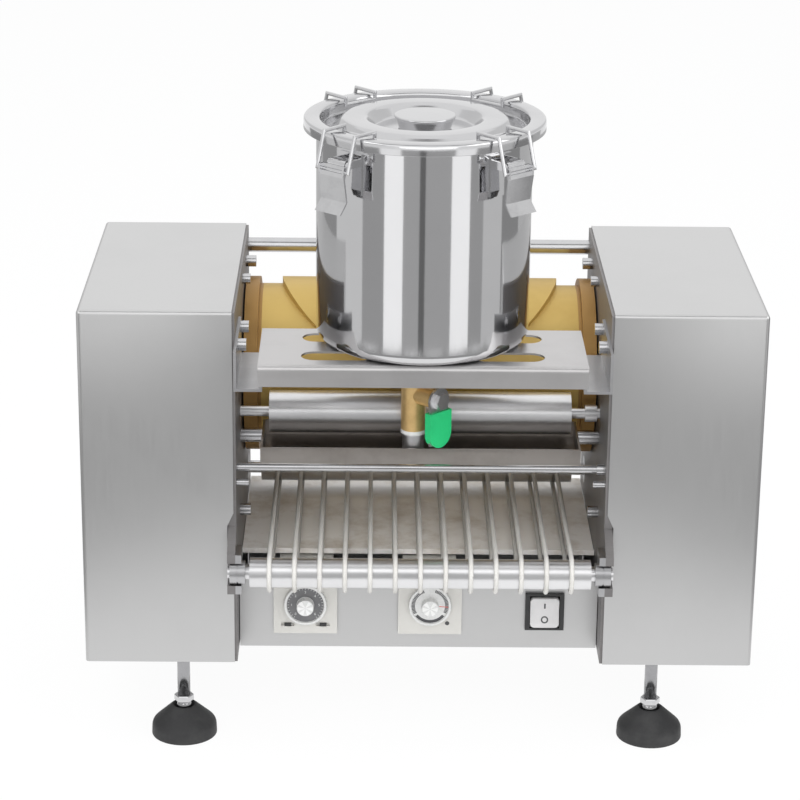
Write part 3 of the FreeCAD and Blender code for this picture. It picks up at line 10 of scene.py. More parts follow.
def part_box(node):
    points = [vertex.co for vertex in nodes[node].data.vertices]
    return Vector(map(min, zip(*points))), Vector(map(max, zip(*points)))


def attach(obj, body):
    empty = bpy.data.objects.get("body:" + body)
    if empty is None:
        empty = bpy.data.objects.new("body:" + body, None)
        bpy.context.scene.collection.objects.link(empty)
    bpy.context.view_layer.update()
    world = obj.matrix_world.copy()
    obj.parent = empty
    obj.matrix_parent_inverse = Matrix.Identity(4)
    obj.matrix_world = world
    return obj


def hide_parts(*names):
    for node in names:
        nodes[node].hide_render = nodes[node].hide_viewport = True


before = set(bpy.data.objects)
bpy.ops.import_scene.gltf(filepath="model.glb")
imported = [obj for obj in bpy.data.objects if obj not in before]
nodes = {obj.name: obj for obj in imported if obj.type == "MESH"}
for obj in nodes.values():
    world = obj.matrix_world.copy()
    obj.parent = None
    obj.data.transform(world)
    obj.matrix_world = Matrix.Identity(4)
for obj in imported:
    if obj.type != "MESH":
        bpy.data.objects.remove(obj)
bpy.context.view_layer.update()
MM = 0.001
MARK_THICK = 0.1 * MM
BAND_THICK = 0.08 * MM


def middle(node):
    """The centre of a CAD node's box, in metres."""
    low, high = (np.array(corner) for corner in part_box(node))
    return (low + high) / 2


def add_object(name, data):
    """A new object at the origin, linked into the scene."""
    thing = bpy.data.objects.new(name, data)
    bpy.context.scene.collection.objects.link(thing)
    return thing


# Shapes


def grid_piece(name, points, wrap_u, wrap_v):
    """A mesh over a grid of points: quad (i, j) joins rows i, i + 1 and columns j, j + 1.

    The last row joins the first where `wrap_u` is set, and the last column the first where `wrap_v` is.
    """
    rows, columns = points.shape[:2]
    first_rows = np.arange(rows if wrap_u else rows - 1)
    first_columns = np.arange(columns if wrap_v else columns - 1)
    i, j = (index.ravel() for index in np.meshgrid(first_rows, first_columns, indexing="ij"))
    i_next, j_next = (i + 1) % rows, (j + 1) % columns
    corners = ((i, j), (i_next, j), (i_next, j_next), (i, j_next))
    quads = np.stack([row * columns + column for row, column in corners], 1)
    mesh = bpy.data.meshes.new(name)
    mesh.from_pydata(points.reshape(-1, 3).tolist(), [], quads.tolist())
    mesh.shade_smooth()
    return add_object(name, mesh)


def recalculate(piece):
    """Merge doubled points and turn every face outwards."""
    form = bmesh.new()
    form.from_mesh(piece.data)
    bmesh.ops.remove_doubles(form, verts=form.verts, dist=1e-7)
    bmesh.ops.recalc_face_normals(form, faces=form.faces)
    form.to_mesh(piece.data)
    form.free()


def soften(corners, reach, steps=5):
    """Each corner of a closed profile becomes a quadratic curve that starts and ends `reach` from it.

    `reach` is one number, or one for each corner. A corner on the axis stays sharp, and a curve takes up
    less than half of a side.
    """
    most = 0.45
    corner = np.array(corners, float)
    reach = np.where(corner[:, 0] > 0, reach, 0)[:, None]
    before, after = np.roll(corner, 1, 0) - corner, np.roll(corner, -1, 0) - corner
    lengths = [np.linalg.norm(side, axis=1, keepdims=True) for side in (before, after)]
    start, end = (corner + side / length * np.minimum(reach, length * most)
                  for side, length in zip((before, after), lengths))
    t = np.linspace(0, 1, steps)[None, :, None]
    curve = start[:, None] * (1 - t) ** 2 + 2 * corner[:, None] * t * (1 - t) + end[:, None] * t ** 2
    return curve.reshape(-1, 2)


def lathe(name, profile, base, segments=128, facing=None):
    """A closed profile (radius, height) in millimetres, turned: point = (r cos a, r sin a, h) + base.

    It turns about Z, or with its height towards the front where `facing` says so.
    """
    angle = np.linspace(0, 2 * np.pi, segments, endpoint=False)
    r, h = (column[:, None] for column in profile.T)
    points = np.stack([r * np.cos(angle), r * np.sin(angle), np.repeat(h, segments, 1)], 2) * MM
    if facing == "front":
        points = np.stack([points[..., 0], -points[..., 2], points[..., 1]], 2)
    piece = grid_piece(name, points + np.array(base), True, True)
    recalculate(piece)
    return piece


def threaded_stem(name, radius, low, high, pitch, base):
    """A screw: radius swells by a sine of (height / pitch - angle / turn), so the crests wind up the stem."""
    segments, rows_per_crest, swing = 32, 6, 0.3
    angle = np.linspace(0, 2 * np.pi, segments, endpoint=False)
    height = np.arange(low, high, pitch / rows_per_crest)[:, None]
    swell = radius - swing + swing * np.sin(2 * np.pi * height / pitch - angle)
    points = np.stack([swell * np.cos(angle), swell * np.sin(angle), np.repeat(height, segments, 1)], 2)
    on_axis = (0, 0, 1)
    capped = np.stack([points[0] * on_axis, *points, points[-1] * on_axis])
    piece = grid_piece(name, capped * MM + np.array(base), False, True)
    recalculate(piece)
    return piece


def cord_loops():
    """Round cords: circles of the cord's radius carried along stadium loops round both rollers.

    A loop is a half turn about each roller's axis, and the straight runs that join their ends.
    """
    fore, rear = middle("front_roller"), middle("rear_roller")
    turn, cord, pitch, count = 13.05 * MM, 1.75 * MM, 18.5 * MM, 13
    steps, sides = 25, 14
    half_turn = np.linspace(0, np.pi, steps)
    heading = np.concatenate([np.pi / 2 + half_turn, -np.pi / 2 + half_turn])
    level = np.zeros(2 * steps)
    outward = np.stack([level, np.cos(heading), np.sin(heading)], 1)
    axis = np.stack([level, np.repeat([fore[1], rear[1]], steps), level + fore[2]], 1)
    spine = outward * turn + axis
    around = np.linspace(0, 2 * np.pi, sides, endpoint=False)[None, :, None]
    ring = np.cos(around) * outward[:, None] + np.sin(around) * np.array([1, 0, 0])
    loop = spine[:, None] + cord * ring
    pieces = []
    for i in range(count):
        shift = np.array([pitch * (i - (count - 1) / 2), 0, 0])
        piece = grid_piece(f"cord_{i:02d}", loop + shift, True, True)
        recalculate(piece)
        pieces.append(piece)
    return pieces


def flat_marks(name, corners, thick):
    """Thin raised marks: each is a four-cornered face, (n, 4, 3) in metres, given `thick` by Solidify."""
    count = len(corners)
    mesh = bpy.data.meshes.new(name)
    mesh.from_pydata(corners.reshape(-1, 3).tolist(), [], np.arange(count * 4).reshape(count, 4).tolist())
    piece = add_object(name, mesh)
    coat = piece.modifiers.new("thickness", "SOLIDIFY")
    coat.thickness = thick
    coat.offset = 0
    return piece


def ring_marks(name, centre, face_y, inner, outer, width, angles):
    """Radial ticks on a dial: at each angle, a strip `width` wide from the inner to the outer radius."""
    a = np.array(angles)[:, None]
    r = np.array([inner, inner, outer, outer])[None]
    w = np.array([-width, width, width, -width])[None] / 2
    x, z = r * np.sin(a) + w * np.cos(a), r * np.cos(a) - w * np.sin(a)
    corners = np.stack([centre[0] + x * MM, np.full_like(x, face_y), centre[2] + z * MM], 2)
    return flat_marks(name, corners, MARK_THICK)


def band(name, centre, face_y, inner, outer, start, end, strips):
    """A flat part-ring on a dial, as short strips between two angles."""
    a = np.linspace(start, end, strips + 1)
    first, last = a[:-1, None], a[1:, None]
    angle = np.concatenate([first, first, last, last], 1)
    r = np.array([inner, outer, outer, inner])[None]
    x, z = r * np.sin(angle), r * np.cos(angle)
    corners = np.stack([centre[0] + x * MM, np.full_like(x, face_y), centre[2] + z * MM], 2)
    return flat_marks(name, corners, BAND_THICK)


def numeral(name, text, size, spot):
    """A raised number, made a mesh, facing the front."""
    curve = bpy.data.curves.new(name, "FONT")
    curve.body = text
    curve.size = size * MM
    curve.extrude = 0.06 * MM
    curve.align_x = curve.align_y = "CENTER"
    letter = bpy.data.objects.new(name, curve)
    mesh = bpy.data.meshes.new_from_object(letter)
    mesh.transform(Matrix.Translation(spot) @ Matrix.Rotation(math.pi / 2, 4, "X"))
    bpy.data.objects.remove(letter)
    return add_object(name, mesh)


# Finishes

# A Mix node's colour sockets: the first two go in and the last comes out.
FIRST_COLOUR, SECOND_COLOUR, MIXED_COLOUR = 6, 7, 2


def new_group(name, values, outputs):
    """An empty shader group that takes a Vector and named values, and puts out named values."""
    group = bpy.data.node_groups.new(name, "ShaderNodeTree")
    group.interface.new_socket("Vector", in_out="INPUT", socket_type="NodeSocketVector")
    for label, value in values.items():
        socket = group.interface.new_socket(label, in_out="INPUT", socket_type="NodeSocketFloat")
        socket.default_value = value
    for label in outputs:
        group.interface.new_socket(label, in_out="OUTPUT", socket_type="NodeSocketFloat")
    return group, group.nodes.new("NodeGroupInput"), group.nodes.new("NodeGroupOutput")


def brushed_group():
    """Fine stretched noise for rolled or ground metal: a roughness value and a height."""
    group, given, out = new_group("brushed", {"Low": 0.2, "High": 0.4}, ["Roughness", "Height"])
    noise = group.nodes.new("ShaderNodeTexNoise")
    noise.inputs["Scale"].default_value = 1.0
    noise.inputs["Detail"].default_value = 3.0
    spread = group.nodes.new("ShaderNodeMapRange")
    group.links.new(given.outputs["Vector"], noise.inputs["Vector"])
    group.links.new(noise.outputs["Fac"], spread.inputs["Value"])
    group.links.new(given.outputs["Low"], spread.inputs["To Min"])
    group.links.new(given.outputs["High"], spread.inputs["To Max"])
    group.links.new(spread.outputs["Result"], out.inputs["Roughness"])
    group.links.new(noise.outputs["Fac"], out.inputs["Height"])
    return group


def smudge_group():
    """Soft uneven patches, for stains and handling: a mask from 0 to 1."""
    group, given, out = new_group("smudge", {"Scale": 20.0, "From": 0.45, "To": 0.7}, ["Mask"])
    noise = group.nodes.new("ShaderNodeTexNoise")
    noise.inputs["Detail"].default_value = 6.0
    noise.inputs["Roughness"].default_value = 0.65
    spread = group.nodes.new("ShaderNodeMapRange")
    group.links.new(given.outputs["Vector"], noise.inputs["Vector"])
    group.links.new(given.outputs["Scale"], noise.inputs["Scale"])
    group.links.new(noise.outputs["Fac"], spread.inputs["Value"])
    group.links.new(given.outputs["From"], spread.inputs["From Min"])
    group.links.new(given.outputs["To"], spread.inputs["From Max"])
    group.links.new(spread.outputs["Result"], out.inputs["Mask"])
    return group


BRUSHED = brushed_group()
SMUDGE = smudge_group()


def finish(name, colour, second, metallic, rough, grain, bump, patch, patch_span=(0.45, 0.75)):
    """A finish of two colours in soft patches, with a grain that sets roughness and a slight bump."""
    bump_height = 0.3 * MM
    material = bpy.data.materials.new(name)
    material.use_nodes = True
    tree = material.node_tree
    shader = tree.nodes["Principled BSDF"]
    shader.inputs["Metallic"].default_value = metallic
    place = tree.nodes.new("ShaderNodeTexCoord")
    stretch = tree.nodes.new("ShaderNodeMapping")
    stretch.inputs["Scale"].default_value = grain
    brushed = tree.nodes.new("ShaderNodeGroup")
    brushed.node_tree = BRUSHED
    brushed.inputs["Low"].default_value, brushed.inputs["High"].default_value = rough
    smudge = tree.nodes.new("ShaderNodeGroup")
    smudge.node_tree = SMUDGE
    smudge.inputs["Scale"].default_value = patch
    smudge.inputs["From"].default_value, smudge.inputs["To"].default_value = patch_span
    blend = tree.nodes.new("ShaderNodeMix")
    blend.data_type = "RGBA"
    blend.inputs[FIRST_COLOUR].default_value = (*colour, 1)
    blend.inputs[SECOND_COLOUR].default_value = (*second, 1)
    relief = tree.nodes.new("ShaderNodeBump")
    relief.inputs["Strength"].default_value = bump
    relief.inputs["Distance"].default_value = bump_height
    link = tree.links.new
    link(place.outputs["Object"], stretch.inputs["Vector"])
    link(stretch.outputs["Vector"], brushed.inputs["Vector"])
    link(place.outputs["Object"], smudge.inputs["Vector"])
    link(smudge.outputs["Mask"], blend.inputs["Factor"])
    link(blend.outputs[MIXED_COLOUR], shader.inputs["Base Color"])
    link(brushed.outputs["Roughness"], shader.inputs["Roughness"])
    link(brushed.outputs["Height"], relief.inputs["Height"])
    link(relief.outputs["Normal"], shader.inputs["Normal"])
    return material


def darken_ends(material, edge, colour):
    """A plain colour on what lies further than `edge` metres from the middle of a finish, along X."""
    tree = material.node_tree
    shader = tree.nodes["Principled BSDF"]
    inner = shader.inputs["Base Color"].links[0].from_socket
    place = tree.nodes.new("ShaderNodeTexCoord")
    parts = tree.nodes.new("ShaderNodeSeparateXYZ")
    distance = tree.nodes.new("ShaderNodeMath")
    distance.operation = "ABSOLUTE"
    past = tree.nodes.new("ShaderNodeMath")
    past.operation = "GREATER_THAN"
    past.inputs[1].default_value = edge
    blend = tree.nodes.new("ShaderNodeMix")
    blend.data_type = "RGBA"
    blend.inputs[SECOND_COLOUR].default_value = (*colour, 1)
    link = tree.links.new
    link(place.outputs["Object"], parts.inputs[0])
    link(parts.outputs["X"], distance.inputs[0])
    link(distance.outputs[0], past.inputs[0])
    link(past.outputs[0], blend.inputs["Factor"])
    link(inner, blend.inputs[FIRST_COLOUR])
    link(blend.outputs[MIXED_COLOUR], shader.inputs["Base Color"])


# Grain runs across the machine, upright, or evenly, and a finish is metal or not.
ACROSS, UPRIGHT, EVEN = (25, 900, 900), (900, 900, 25), (700, 700, 700)
METAL, PLAIN = 1, 0
FINISH = {
    "cover": finish("cover_steel", (0.60, 0.60, 0.60), (0.57, 0.57, 0.57), METAL, (0.26, 0.36),
                    UPRIGHT, 0.03, 6),
    # painted shade: the side plates' dark grey stands in for the dark inside of the machine that their faces
    # reflect, and the other parts that take this finish share it.
    "plate": finish("plate_steel", (0.30, 0.29, 0.29), (0.22, 0.21, 0.21), METAL, (0.42, 0.6),
                    ACROSS, 0.03, 12),
    "shelf": finish("shelf_steel", (0.59, 0.58, 0.58), (0.53, 0.52, 0.52), METAL, (0.3, 0.42),
                    ACROSS, 0.03, 14),
    "rail": finish("rail_steel", (0.52, 0.52, 0.53), (0.42, 0.42, 0.43), METAL, (0.26, 0.4),
                   ACROSS, 0.03, 18),
    "panel": finish("panel_steel", (0.60, 0.60, 0.60), (0.57, 0.57, 0.57), METAL, (0.36, 0.46),
                    ACROSS, 0.03, 8),
    "bar": finish("turned_bar", (0.62, 0.62, 0.63), (0.55, 0.55, 0.56), METAL, (0.12, 0.24),
                  ACROSS, 0.02, 30),
    "roller": finish("ground_steel", (0.82, 0.82, 0.83), (0.74, 0.74, 0.75), METAL, (0.26, 0.36),
                     ACROSS, 0.03, 22),
    "bucket": finish("bucket_steel", (0.68, 0.68, 0.69), (0.64, 0.64, 0.65), METAL, (0.05, 0.1),
                     UPRIGHT, 0.008, 9),
    # painted shade: the lid and knob are the bucket's steel made darker, a shaded copy that stands in for the
    # darker reflections on them.
    "lid": finish("lid_steel_painted_shade", (0.62, 0.62, 0.63), (0.57, 0.57, 0.58), METAL, (0.09, 0.15),
                  EVEN, 0.01, 12),
    # painted shade: the stems are the feet's bright steel made darker, a shaded copy that keeps them from
    # mirroring the white floor and sky.
    "spindle": finish("spindle_steel_painted_shade", (0.40, 0.40, 0.41), (0.33, 0.33, 0.34), METAL, (0.16, 0.26),
                      EVEN, 0.01, 60),
    "latch": finish("latch_steel", (0.66, 0.66, 0.67), (0.56, 0.56, 0.57), METAL, (0.07, 0.16),
                    EVEN, 0.01, 60),
    "tray": finish("tray_steel", (0.44, 0.41, 0.385), (0.34, 0.31, 0.285), METAL, (0.25, 0.45),
                   ACROSS, 0.04, 25),
    # painted light: the pan's near-white base stands in for light that the tray and shelf keep off it; the
    # darker patches are its real stains.
    "pan": finish("pan_stains_and_painted_light", (0.97, 0.94, 0.90), (0.64, 0.57, 0.48), 0.03, (0.42, 0.6),
                  ACROSS, 0.06, 24, (0.48, 0.74)),
    "drum": finish("drum_coat", (0.60, 0.42, 0.130), (0.51, 0.334, 0.092), 0.5, (0.34, 0.48),
                   ACROSS, 0.05, 16),
    "brass": finish("valve_brass", (0.80, 0.55, 0.24), (0.62, 0.40, 0.16), 0.6, (0.3, 0.45),
                    UPRIGHT, 0.03, 70),
    "cord": finish("cord_white", (0.56, 0.55, 0.525), (0.50, 0.485, 0.45), PLAIN, (0.4, 0.55),
                   EVEN, 0.05, 40),
    "washer": finish("washer_white", (0.76, 0.76, 0.75), (0.69, 0.69, 0.67), PLAIN, (0.4, 0.5),
                     EVEN, 0.03, 60),
    "rubber": finish("foot_rubber", (0.022, 0.022, 0.023), (0.04, 0.04, 0.04), PLAIN, (0.5, 0.7),
                     EVEN, 0.2, 50),
    "bezel": finish("bezel_plastic", (0.55, 0.54, 0.51), (0.52, 0.51, 0.48), PLAIN, (0.35, 0.45),
                    EVEN, 0.05, 30),
    "dial": finish("dial_plastic", (0.64, 0.64, 0.63), (0.60, 0.60, 0.59), PLAIN, (0.22, 0.32),
                   EVEN, 0.03, 60),
    "ink": finish("mark_dark", (0.06, 0.06, 0.065), (0.09, 0.09, 0.09), PLAIN, (0.4, 0.5),
                  EVEN, 0.02, 90),
    "scale": finish("scale_grey", (0.13, 0.13, 0.135), (0.17, 0.17, 0.17), PLAIN, (0.35, 0.45),
                    EVEN, 0.02, 90),
    "red": finish("mark_red", (0.60, 0.04, 0.03), (0.5, 0.03, 0.02), PLAIN, (0.4, 0.5),
                  EVEN, 0.02, 90),
    "black": finish("black_plastic", (0.02, 0.02, 0.021), (0.035, 0.035, 0.035), PLAIN, (0.3, 0.45),
                    EVEN, 0.08, 40),
    "key": finish("rocker_plastic", (0.58, 0.57, 0.57), (0.54, 0.53, 0.53), PLAIN, (0.25, 0.36),
                  EVEN, 0.04, 60),
    "green": finish("grip_green", (0.02, 0.57, 0.195), (0.016, 0.50, 0.17), PLAIN, (0.3, 0.42),
                    EVEN, 0.06, 60),
    "paint": finish("motor_paint", (0.16, 0.18, 0.20), (0.12, 0.13, 0.15), PLAIN, (0.4, 0.55),
                    EVEN, 0.1, 30),
}
RIM_EDGE, RIM_BROWN = 121.5 * MM, (0.38, 0.216, 0.066)
darken_ends(FINISH["drum"], RIM_EDGE, RIM_BROWN)

NODE_FINISH = {
    "cover": "left_cover right_cover base_plates",
    "plate": "left_side_plate right_side_plate drum_hubs heater_rods drum_gear drum_sprocket "
             "dip_drive_wheels motor_sprocket drive_chains",
    "shelf": "bucket_shelf",
    "rail": "shelf_rails shaft_bearings",
    "panel": "control_panel",
    "bar": "rear_tie_bar guide_rod rear_roller frame_bolts",
    "roller": "dip_roller front_roller nozzle valve_lever",
    "bucket": "bucket latch_brackets",
    "latch": " ".join(name for name in nodes if name.startswith(("latch_lever", "latch_bail"))),
    "tray": "batter_tray",
    "pan": "drip_pan",
    "drum": "heating_drum",
    "brass": "valve_body slip_rings",
    "washer": "valve_washer lid_gasket",
    "bezel": "timer_housing thermostat_housing",
    "black": "rocker_frame cable_gland timer_selector_left timer_selector_right brush_block",
    "green": "valve_grip",
    "paint": "gearmotor",
}
for look, names in NODE_FINISH.items():
    for node in names.split():
        nodes[node].data.materials.clear()
        nodes[node].data.materials.append(FINISH[look])


def dress(piece, look, body, slot, *replaced):
    """Give a new piece its finish and the body that carries it, and hide the nodes it stands for; its record
    slot is not used.
    """
    piece.data.materials.append(FINISH[look])
    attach(piece, body)
    if replaced:
        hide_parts(*replaced)


# Pieces


def lid_and_knob():
    """The lid's folded sheet with soft bends, and the spun knob in its dish."""
    base = middle("lid")
    base[2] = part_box("lid")[1][2]
    over = [(0, -9), (36, -9), (42.5, -0.5), (59, -0.5), (66.2, -9), (75, -9), (75, 0), (87.4, 0),
            (87.4, -8.5)]
    over_bends = [0, 2, 2.5, 2.5, 1.5, 1.5, 3, 2.2, 0.4]
    under = [(86.2, -8.5), (86.2, -1.2), (76.2, -1.2), (76.2, -10.2), (65, -10.2), (57.8, -1.7),
             (43.7, -1.7), (37.2, -10.2), (0, -10.2)]
    under_bends = [0.4, 1, 1, 1.5, 1.5, 2, 2, 2, 0]
    sheet = soften(over + under, over_bends + under_bends)
    dress(lathe("lid_spun", sheet, base, 192), "lid", "frame", "bucket_steel", "lid")
    knob_bend = 0.7
    knob = [(0, -9), (18.8, -9), (21.8, -1.2), (22.3, -0.4), (22.3, 0.4), (21.7, 1), (0, 1)]
    dress(lathe("knob_spun", soften(knob, knob_bend), base), "lid", "frame", "bucket_steel", "lid_knob")


def levelling_feet():
    """Each foot: a moulded pad with a socket, a ball and hexagon in it, and a stem threaded near the top."""
    pad = [(0, 0), (25, 0), (24.6, 9.8), (9.5, 23.8), (8.2, 23.8), (6.6, 19.5), (0, 19.5)]
    pad = soften(pad, [0, 0.8, 3, 1.3, 0.5, 0.4, 0])
    ball_radius, ball_height = 5.9, 22.6
    arc = np.radians(np.linspace(-31, 45, 9))
    ball = np.column_stack([ball_radius * np.cos(arc), ball_height + ball_radius * np.sin(arc)])
    ball = np.concatenate([[(0, 19.4), (5, 19.4)], ball, [(4.2, 27), (0, 27)]])
    hexagon = np.array([(0, 26.9), (6.9, 26.9), (7.5, 27.5), (7.5, 31.4), (6.9, 32.1), (0, 32.1)])
    stem = np.array([(0, 31.8), (4.9, 31.8), (4.9, 69.6), (4.4, 70.2), (0, 70.2)])
    screw_radius, screw_low, screw_high, screw_pitch = 5, 69.9, 98, 1.5
    for body in (f"foot_{end}_{side}" for end in ("front", "rear") for side in ("left", "right")):
        base = middle(body)
        base[2] = 0
        dress(lathe(f"{body}_moulded", pad, base), "rubber", body, "foot_rubber", body)
        dress(lathe(f"{body}_ball", ball, base, 48), "latch", body, "bright_steel")
        flats = lathe(f"{body}_hexagon", hexagon, base, 6)
        flats.data.shade_flat()
        dress(flats, "latch", body, "bright_steel")
        dress(lathe(f"{body}_stem", stem, base, 48), "spindle", body, "bright_steel")
        screw = threaded_stem(f"{body}_screw", screw_radius, screw_low, screw_high, screw_pitch, base)
        dress(screw, "spindle", body, "bright_steel")


def cords():
    """The conveyor's round cords, which stand for the plain solid loops."""
    pieces = cord_loops()
    for piece in pieces:
        dress(piece, "cord", "frame", "cord_white")
    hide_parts("conveyor_cords")


def timer_scale(centre, floor, body):
    """A grey ring on the dial's floor, with ticks each 10 degrees and the numbers 0 to 6."""
    dress(band("timer_scale", centre, floor, 6.7, 13.9, 0, 2 * np.pi, 48), "scale", body, "case_plastic")
    raised = floor - 0.06 * MM
    angles = np.radians(np.arange(-140, 141, 10))
    ticks = ring_marks("timer_ticks", centre, raised, 12.4, 13.6, 0.3, angles)
    dress(ticks, "dial", body, "dial_plastic")
    number_radius, number_size = 10.4, 2.8
    for i in range(7):
        a = math.radians(-135 + 45 * i)
        x, z = number_radius * math.sin(a) * MM, number_radius * math.cos(a) * MM
        number = numeral(f"timer_number_{i}", str(i), number_size, (centre[0] + x, raised, centre[2] + z))
        dress(number, "dial", body, "dial_plastic")


def thermostat_scale(centre, floor, body):
    """Dark ticks and a dark arc on the dial's floor, a red pointer, and a small lamp on the housing."""
    start, end = math.radians(128), math.radians(232)
    arc = band("thermostat_arc", centre, floor, 11.6, 13.9, start, end, 24)
    dress(arc, "ink", body, "case_plastic")
    angles = np.radians(np.concatenate([np.arange(-118, -18, 5), np.arange(20, 119, 5)]))
    ticks = ring_marks("thermostat_ticks", centre, floor, 11.4, 13.9, 0.75, angles)
    dress(ticks, "ink", body, "case_plastic")
    raised = floor - 0.05 * MM
    pointer = ring_marks("thermostat_pointer", centre, raised, 7, 14, 0.5, [math.radians(94)])
    dress(pointer, "red", body, "dial_plastic")
    spot = (centre[0] + 13.2 * MM, centre[1], centre[2] - 15 * MM)
    bead = soften([(0, -0.5), (1.6, -0.5), (1.6, 0.5), (0, 1.1)], 0.4)
    dress(lathe("thermostat_lamp", bead, spot, 32, "front"), "ink", "frame", "case_plastic")


def dials():
    """Both instrument dials: a cup with a scale on its floor, and a grip with light facets."""
    cup = [(0, -7.5), (3, -7.5), (3, 0.3), (16, 0.3), (16, 3.3), (14.2, 3.3), (14.2, 1.8), (6.4, 1.8),
           (6.4, 8.3), (0, 8.3)]
    cup_bend, floor_height, facet_height, facet_half = 0.4, 1.84 * MM, 8.33 * MM, 0.28
    for name, scale in (("timer", timer_scale), ("thermostat", thermostat_scale)):
        body = f"{name}_dial"
        centre = middle(f"{name}_housing")
        centre[1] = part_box(f"{name}_housing")[0][1]
        knob = lathe(f"{name}_knob", soften(cup, cup_bend), centre, 96, "front")
        dress(knob, "dial", body, "dial_plastic", body)
        for i, degrees in enumerate((-150, -95, -40, 40, 95, 150)):
            a = math.radians(degrees)
            facet = band(f"{name}_facet_{i}", centre, centre[1] - facet_height, 0.6, 5.7,
                         a - facet_half, a + facet_half, 6)
            dress(facet, "washer", body, "dial_plastic")
        scale(centre, centre[1] - floor_height, body)


def rocker_key():
    """The rocker's rounded key, with the line and ring laid on its slopes: y = ridge - slope * |z|."""
    low, high = (np.array(corner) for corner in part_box("rocker"))
    centre = (low + high) / 2
    half_wide, half_tall, corner, fall, back, raised = 11, 12, 3.2, 2.2, 3.5, 0.05
    ridge = low[1] + fall * MM
    slope = fall / half_tall

    def laid(x, z):
        """Points just above the slopes, from places in millimetres beside the key's middle."""
        y = ridge - np.abs(z) * slope * MM - raised * MM
        return np.stack([centre[0] + x * MM, y, centre[2] + z * MM], 2)

    a = np.linspace(0, 2 * np.pi, 64, endpoint=False)
    cos, sin = np.cos(a), np.sin(a)
    edge_x = np.sign(cos) * (half_wide - corner) * (np.abs(cos) > 1e-9) + corner * cos
    edge_z = np.sign(sin) * (half_tall - corner) * (np.abs(sin) > 1e-9) + corner * sin
    scale = np.array([0, 1, 1, 0.985, 0.95, 0.5, 0])[:, None]
    sunk = np.array([0, 0, 0.8, 0.2, 0, 0, 0])[:, None]
    shell = laid(edge_x * scale, edge_z * scale)
    shell[..., 1] += (raised + sunk) * MM
    shell[:2, :, 1] = high[1] - back * MM
    key = grid_piece("rocker_key", shell, False, True)
    recalculate(key)
    dress(key, "key", "rocker", "dial_plastic", "rocker")

    line = laid(np.array([[-0.6, 0.6, 0.6, -0.6]]), np.array([[3.4, 3.4, 7.8, 7.8]]))
    dress(flat_marks("rocker_line", line, MARK_THICK), "ink", "rocker", "black_plastic")
    ring_height = -5.6
    a = np.linspace(0, 2 * np.pi, 33)
    angle = np.stack([a[:-1], a[:-1], a[1:], a[1:]], 1)
    radius = np.array([[1.7, 2.8, 2.8, 1.7]])
    ring = laid(radius * np.sin(angle), ring_height + radius * np.cos(angle))
    dress(flat_marks("rocker_ring", ring, MARK_THICK), "ink", "rocker", "black_plastic")


lid_and_knob()
levelling_feet()
cords()
dials()
rocker_key()


# Studio


def camera():
    """The photograph's viewpoint: pitch, yaw and roll in radians, place in metres, lens in millimetres."""
    pitch, yaw, roll = 0.3384, 0.0112, 0.0114
    place = (-0.03735, -1.99065, 0.9476)
    lens, sensor = 123.87, 36
    turn = Matrix.Rotation(roll, 3, "Z") @ Matrix(((1, 0, 0), (0, 0, -1), (0, 1, 0)))
    turn = turn @ Matrix.Rotation(pitch, 3, "X") @ Matrix.Rotation(yaw, 3, "Z")
    axes = Matrix((turn[0], -turn[1], -turn[2])).transposed().to_4x4()
    eye = add_object("camera", bpy.data.cameras.new("camera"))
    eye.data.lens = lens
    eye.data.sensor_width = sensor
    eye.matrix_world = Matrix.Translation(place) @ axes
    bpy.context.scene.camera = eye


def show_white(tree, plain, white, target):
    """The white shader to the camera, mirror-like and see-through rays, and the plain one to all others."""
    path = tree.nodes.new("ShaderNodeLightPath")
    seen = path.outputs["Is Camera Ray"]
    for label in ("Is Glossy Ray", "Is Transmission Ray"):
        either = tree.nodes.new("ShaderNodeMath")
        either.operation = "MAXIMUM"
        tree.links.new(seen, either.inputs[0])
        tree.links.new(path.outputs[label], either.inputs[1])
        seen = either.outputs[0]
    mix = tree.nodes.new("ShaderNodeMixShader")
    tree.links.new(seen, mix.inputs["Fac"])
    tree.links.new(plain.outputs[0], mix.inputs[1])
    tree.links.new(white.outputs[0], mix.inputs[2])
    tree.links.new(mix.outputs[0], target)


def white_world():
    """A plain sky for light, which looks white to the camera and a little dimmer in a mirror."""
    world = bpy.data.worlds.new("studio")
    bpy.context.scene.world = world
    world.use_nodes = True
    tree = world.node_tree
    plain = tree.nodes["Background"]
    plain.inputs["Color"].default_value = (0.9, 0.92, 0.95, 1)
    plain.inputs["Strength"].default_value = 0.52
    white = tree.nodes.new("ShaderNodeBackground")
    white.inputs["Color"].default_value = (1, 1, 1, 1)
    path = tree.nodes.new("ShaderNodeLightPath")
    dimmed = tree.nodes.new("ShaderNodeMath")
    dimmed.operation = "MULTIPLY_ADD"
    dimmed.inputs[1].default_value = -0.2
    dimmed.inputs[2].default_value = 1.0
    tree.links.new(path.outputs["Is Glossy Ray"], dimmed.inputs[0])
    tree.links.new(dimmed.outputs[0], white.inputs["Strength"])
    show_white(tree, plain, white, tree.nodes["World Output"].inputs["Surface"])


def white_floor():
    """A wide sheet of paper that keeps a faint shadow: it is nearly all glow to the camera."""
    bpy.ops.mesh.primitive_plane_add(size=60)
    floor = bpy.context.object
    floor.name = "floor"
    paper = bpy.data.materials.new("paper")
    paper.use_nodes = True
    tree = paper.node_tree
    sheet = tree.nodes["Principled BSDF"]
    sheet.inputs["Base Color"].default_value = (0.92, 0.92, 0.92, 1)
    sheet.inputs["Roughness"].default_value = 0.9
    glow = tree.nodes.new("ShaderNodeEmission")
    white = tree.nodes.new("ShaderNodeMixShader")
    white.inputs["Fac"].default_value = 0.94
    tree.links.new(sheet.outputs[0], white.inputs[1])
    tree.links.new(glow.outputs[0], white.inputs[2])
    show_white(tree, sheet, white, tree.nodes["Material Output"].inputs["Surface"])
    floor.data.materials.append(paper)


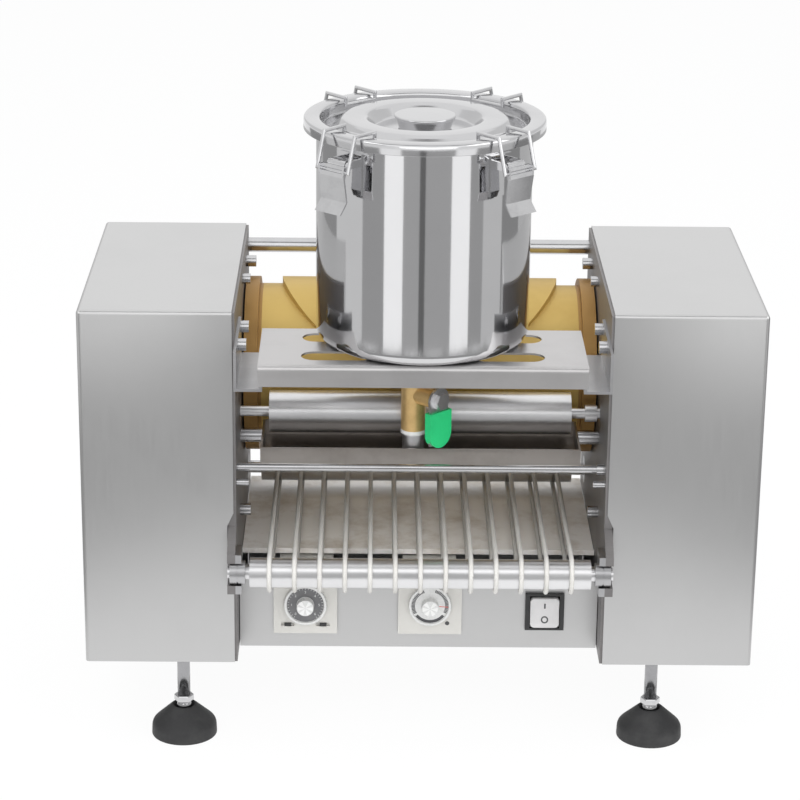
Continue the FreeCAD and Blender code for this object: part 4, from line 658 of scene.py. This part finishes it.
def hang_card(rows, glow):
    """A glowing sheet over a grid of points, which only mirror-like rays see."""
    card = grid_piece("card", rows, False, False)
    paint = bpy.data.materials.new("card")
    paint.use_nodes = True
    tree = paint.node_tree
    shine = tree.nodes.new("ShaderNodeEmission")
    shine.inputs["Strength"].default_value = glow
    tree.links.new(shine.outputs[0], tree.nodes["Material Output"].inputs["Surface"])
    card.data.materials.append(paint)
    card.visible_camera = card.visible_diffuse = card.visible_shadow = card.visible_transmission = False


def room_cards():
    """Cards on a circle round the bucket: a dim room with two tall windows.

    Each runs between two bearings in degrees, from the front towards the right, and two heights in metres,
    and has its glow. The windows' row stands on a plain lower one, and a plain card closes the rear.
    """
    radius, steps = 0.5, 13
    low, sill, top, rear_top = 0.002, 0.19, 0.4, 0.36
    cards = [(-130, 130, low, sill, 0.38), (130, 230, low, rear_top, 0.55)]
    cards += [(start, end, sill, top, glow) for start, end, glow in (
        (-130, -100, 0.34), (-100, -64, 0.72), (-64, -40, 0.4), (-40, -21, 1.2),
        (-21, -5, 0.46), (-5, 0.5, 0.16), (0.5, 26, 0.45), (26, 45, 1.2),
        (45, 60, 0.4), (60, 84, 0.64), (84, 112, 0.3), (112, 130, 0.55))]
    centre = middle("bucket")
    for start, end, bottom, upper, glow in cards:
        bearing = np.radians(np.linspace(start, end, steps))
        x, y = centre[0] + radius * np.sin(bearing), centre[1] - radius * np.cos(bearing)
        rows = np.stack([np.column_stack([x, y, np.full(steps, height)]) for height in (bottom, upper)])
        hang_card(rows, glow)


def overhead_cards():
    """A slope before the machine, a dim strip above its front, and a ceiling, so that flat tops stay grey.

    Each runs between two edges, given as how far back and how high they lie, in metres, and has its glow.
    """
    half_width, height = 1.1, 1.6
    foot, front, middle_edge, rear = (-1.6, 0.55), (-1.1, height), (-0.45, height), (1.3, height)
    for start, end, glow in ((foot, front, 1.25), (front, middle_edge, 0.3), (middle_edge, rear, 1.0)):
        rows = np.array([[(-half_width, *edge), (half_width, *edge)] for edge in (start, end)])
        hang_card(rows, glow)


def lamps():
    """Wide soft lamps aimed at the machine's middle: name, place in metres, watts, width in metres."""
    target = Vector((0, 0, 0.25))
    for name, place, watts, width in (
            ("key", (-1.3, -1.7, 2.4), 28, 2.6),
            ("fill", (1.9, -1.2, 1.8), 24, 2.4),
            ("top", (0, 0.3, 2.6), 24, 2.6),
            ("high", (0.1, -1.5, 2.3), 16, 2.4),
            ("low", (0.1, -2.2, 1.3), 32, 2.6),
            ("rear", (0, 2.6, 1.5), 2.5, 2.0)):
        lamp = add_object(name, bpy.data.lights.new(name, "AREA"))
        lamp.data.energy = watts
        lamp.data.size = width
        lamp.location = place
        lamp.rotation_euler = (target - Vector(place)).to_track_quat("-Z", "Y").to_euler()


camera()
white_world()
white_floor()
room_cards()
overhead_cards()
lamps()
bpy.context.scene.view_settings.view_transform = "Standard"
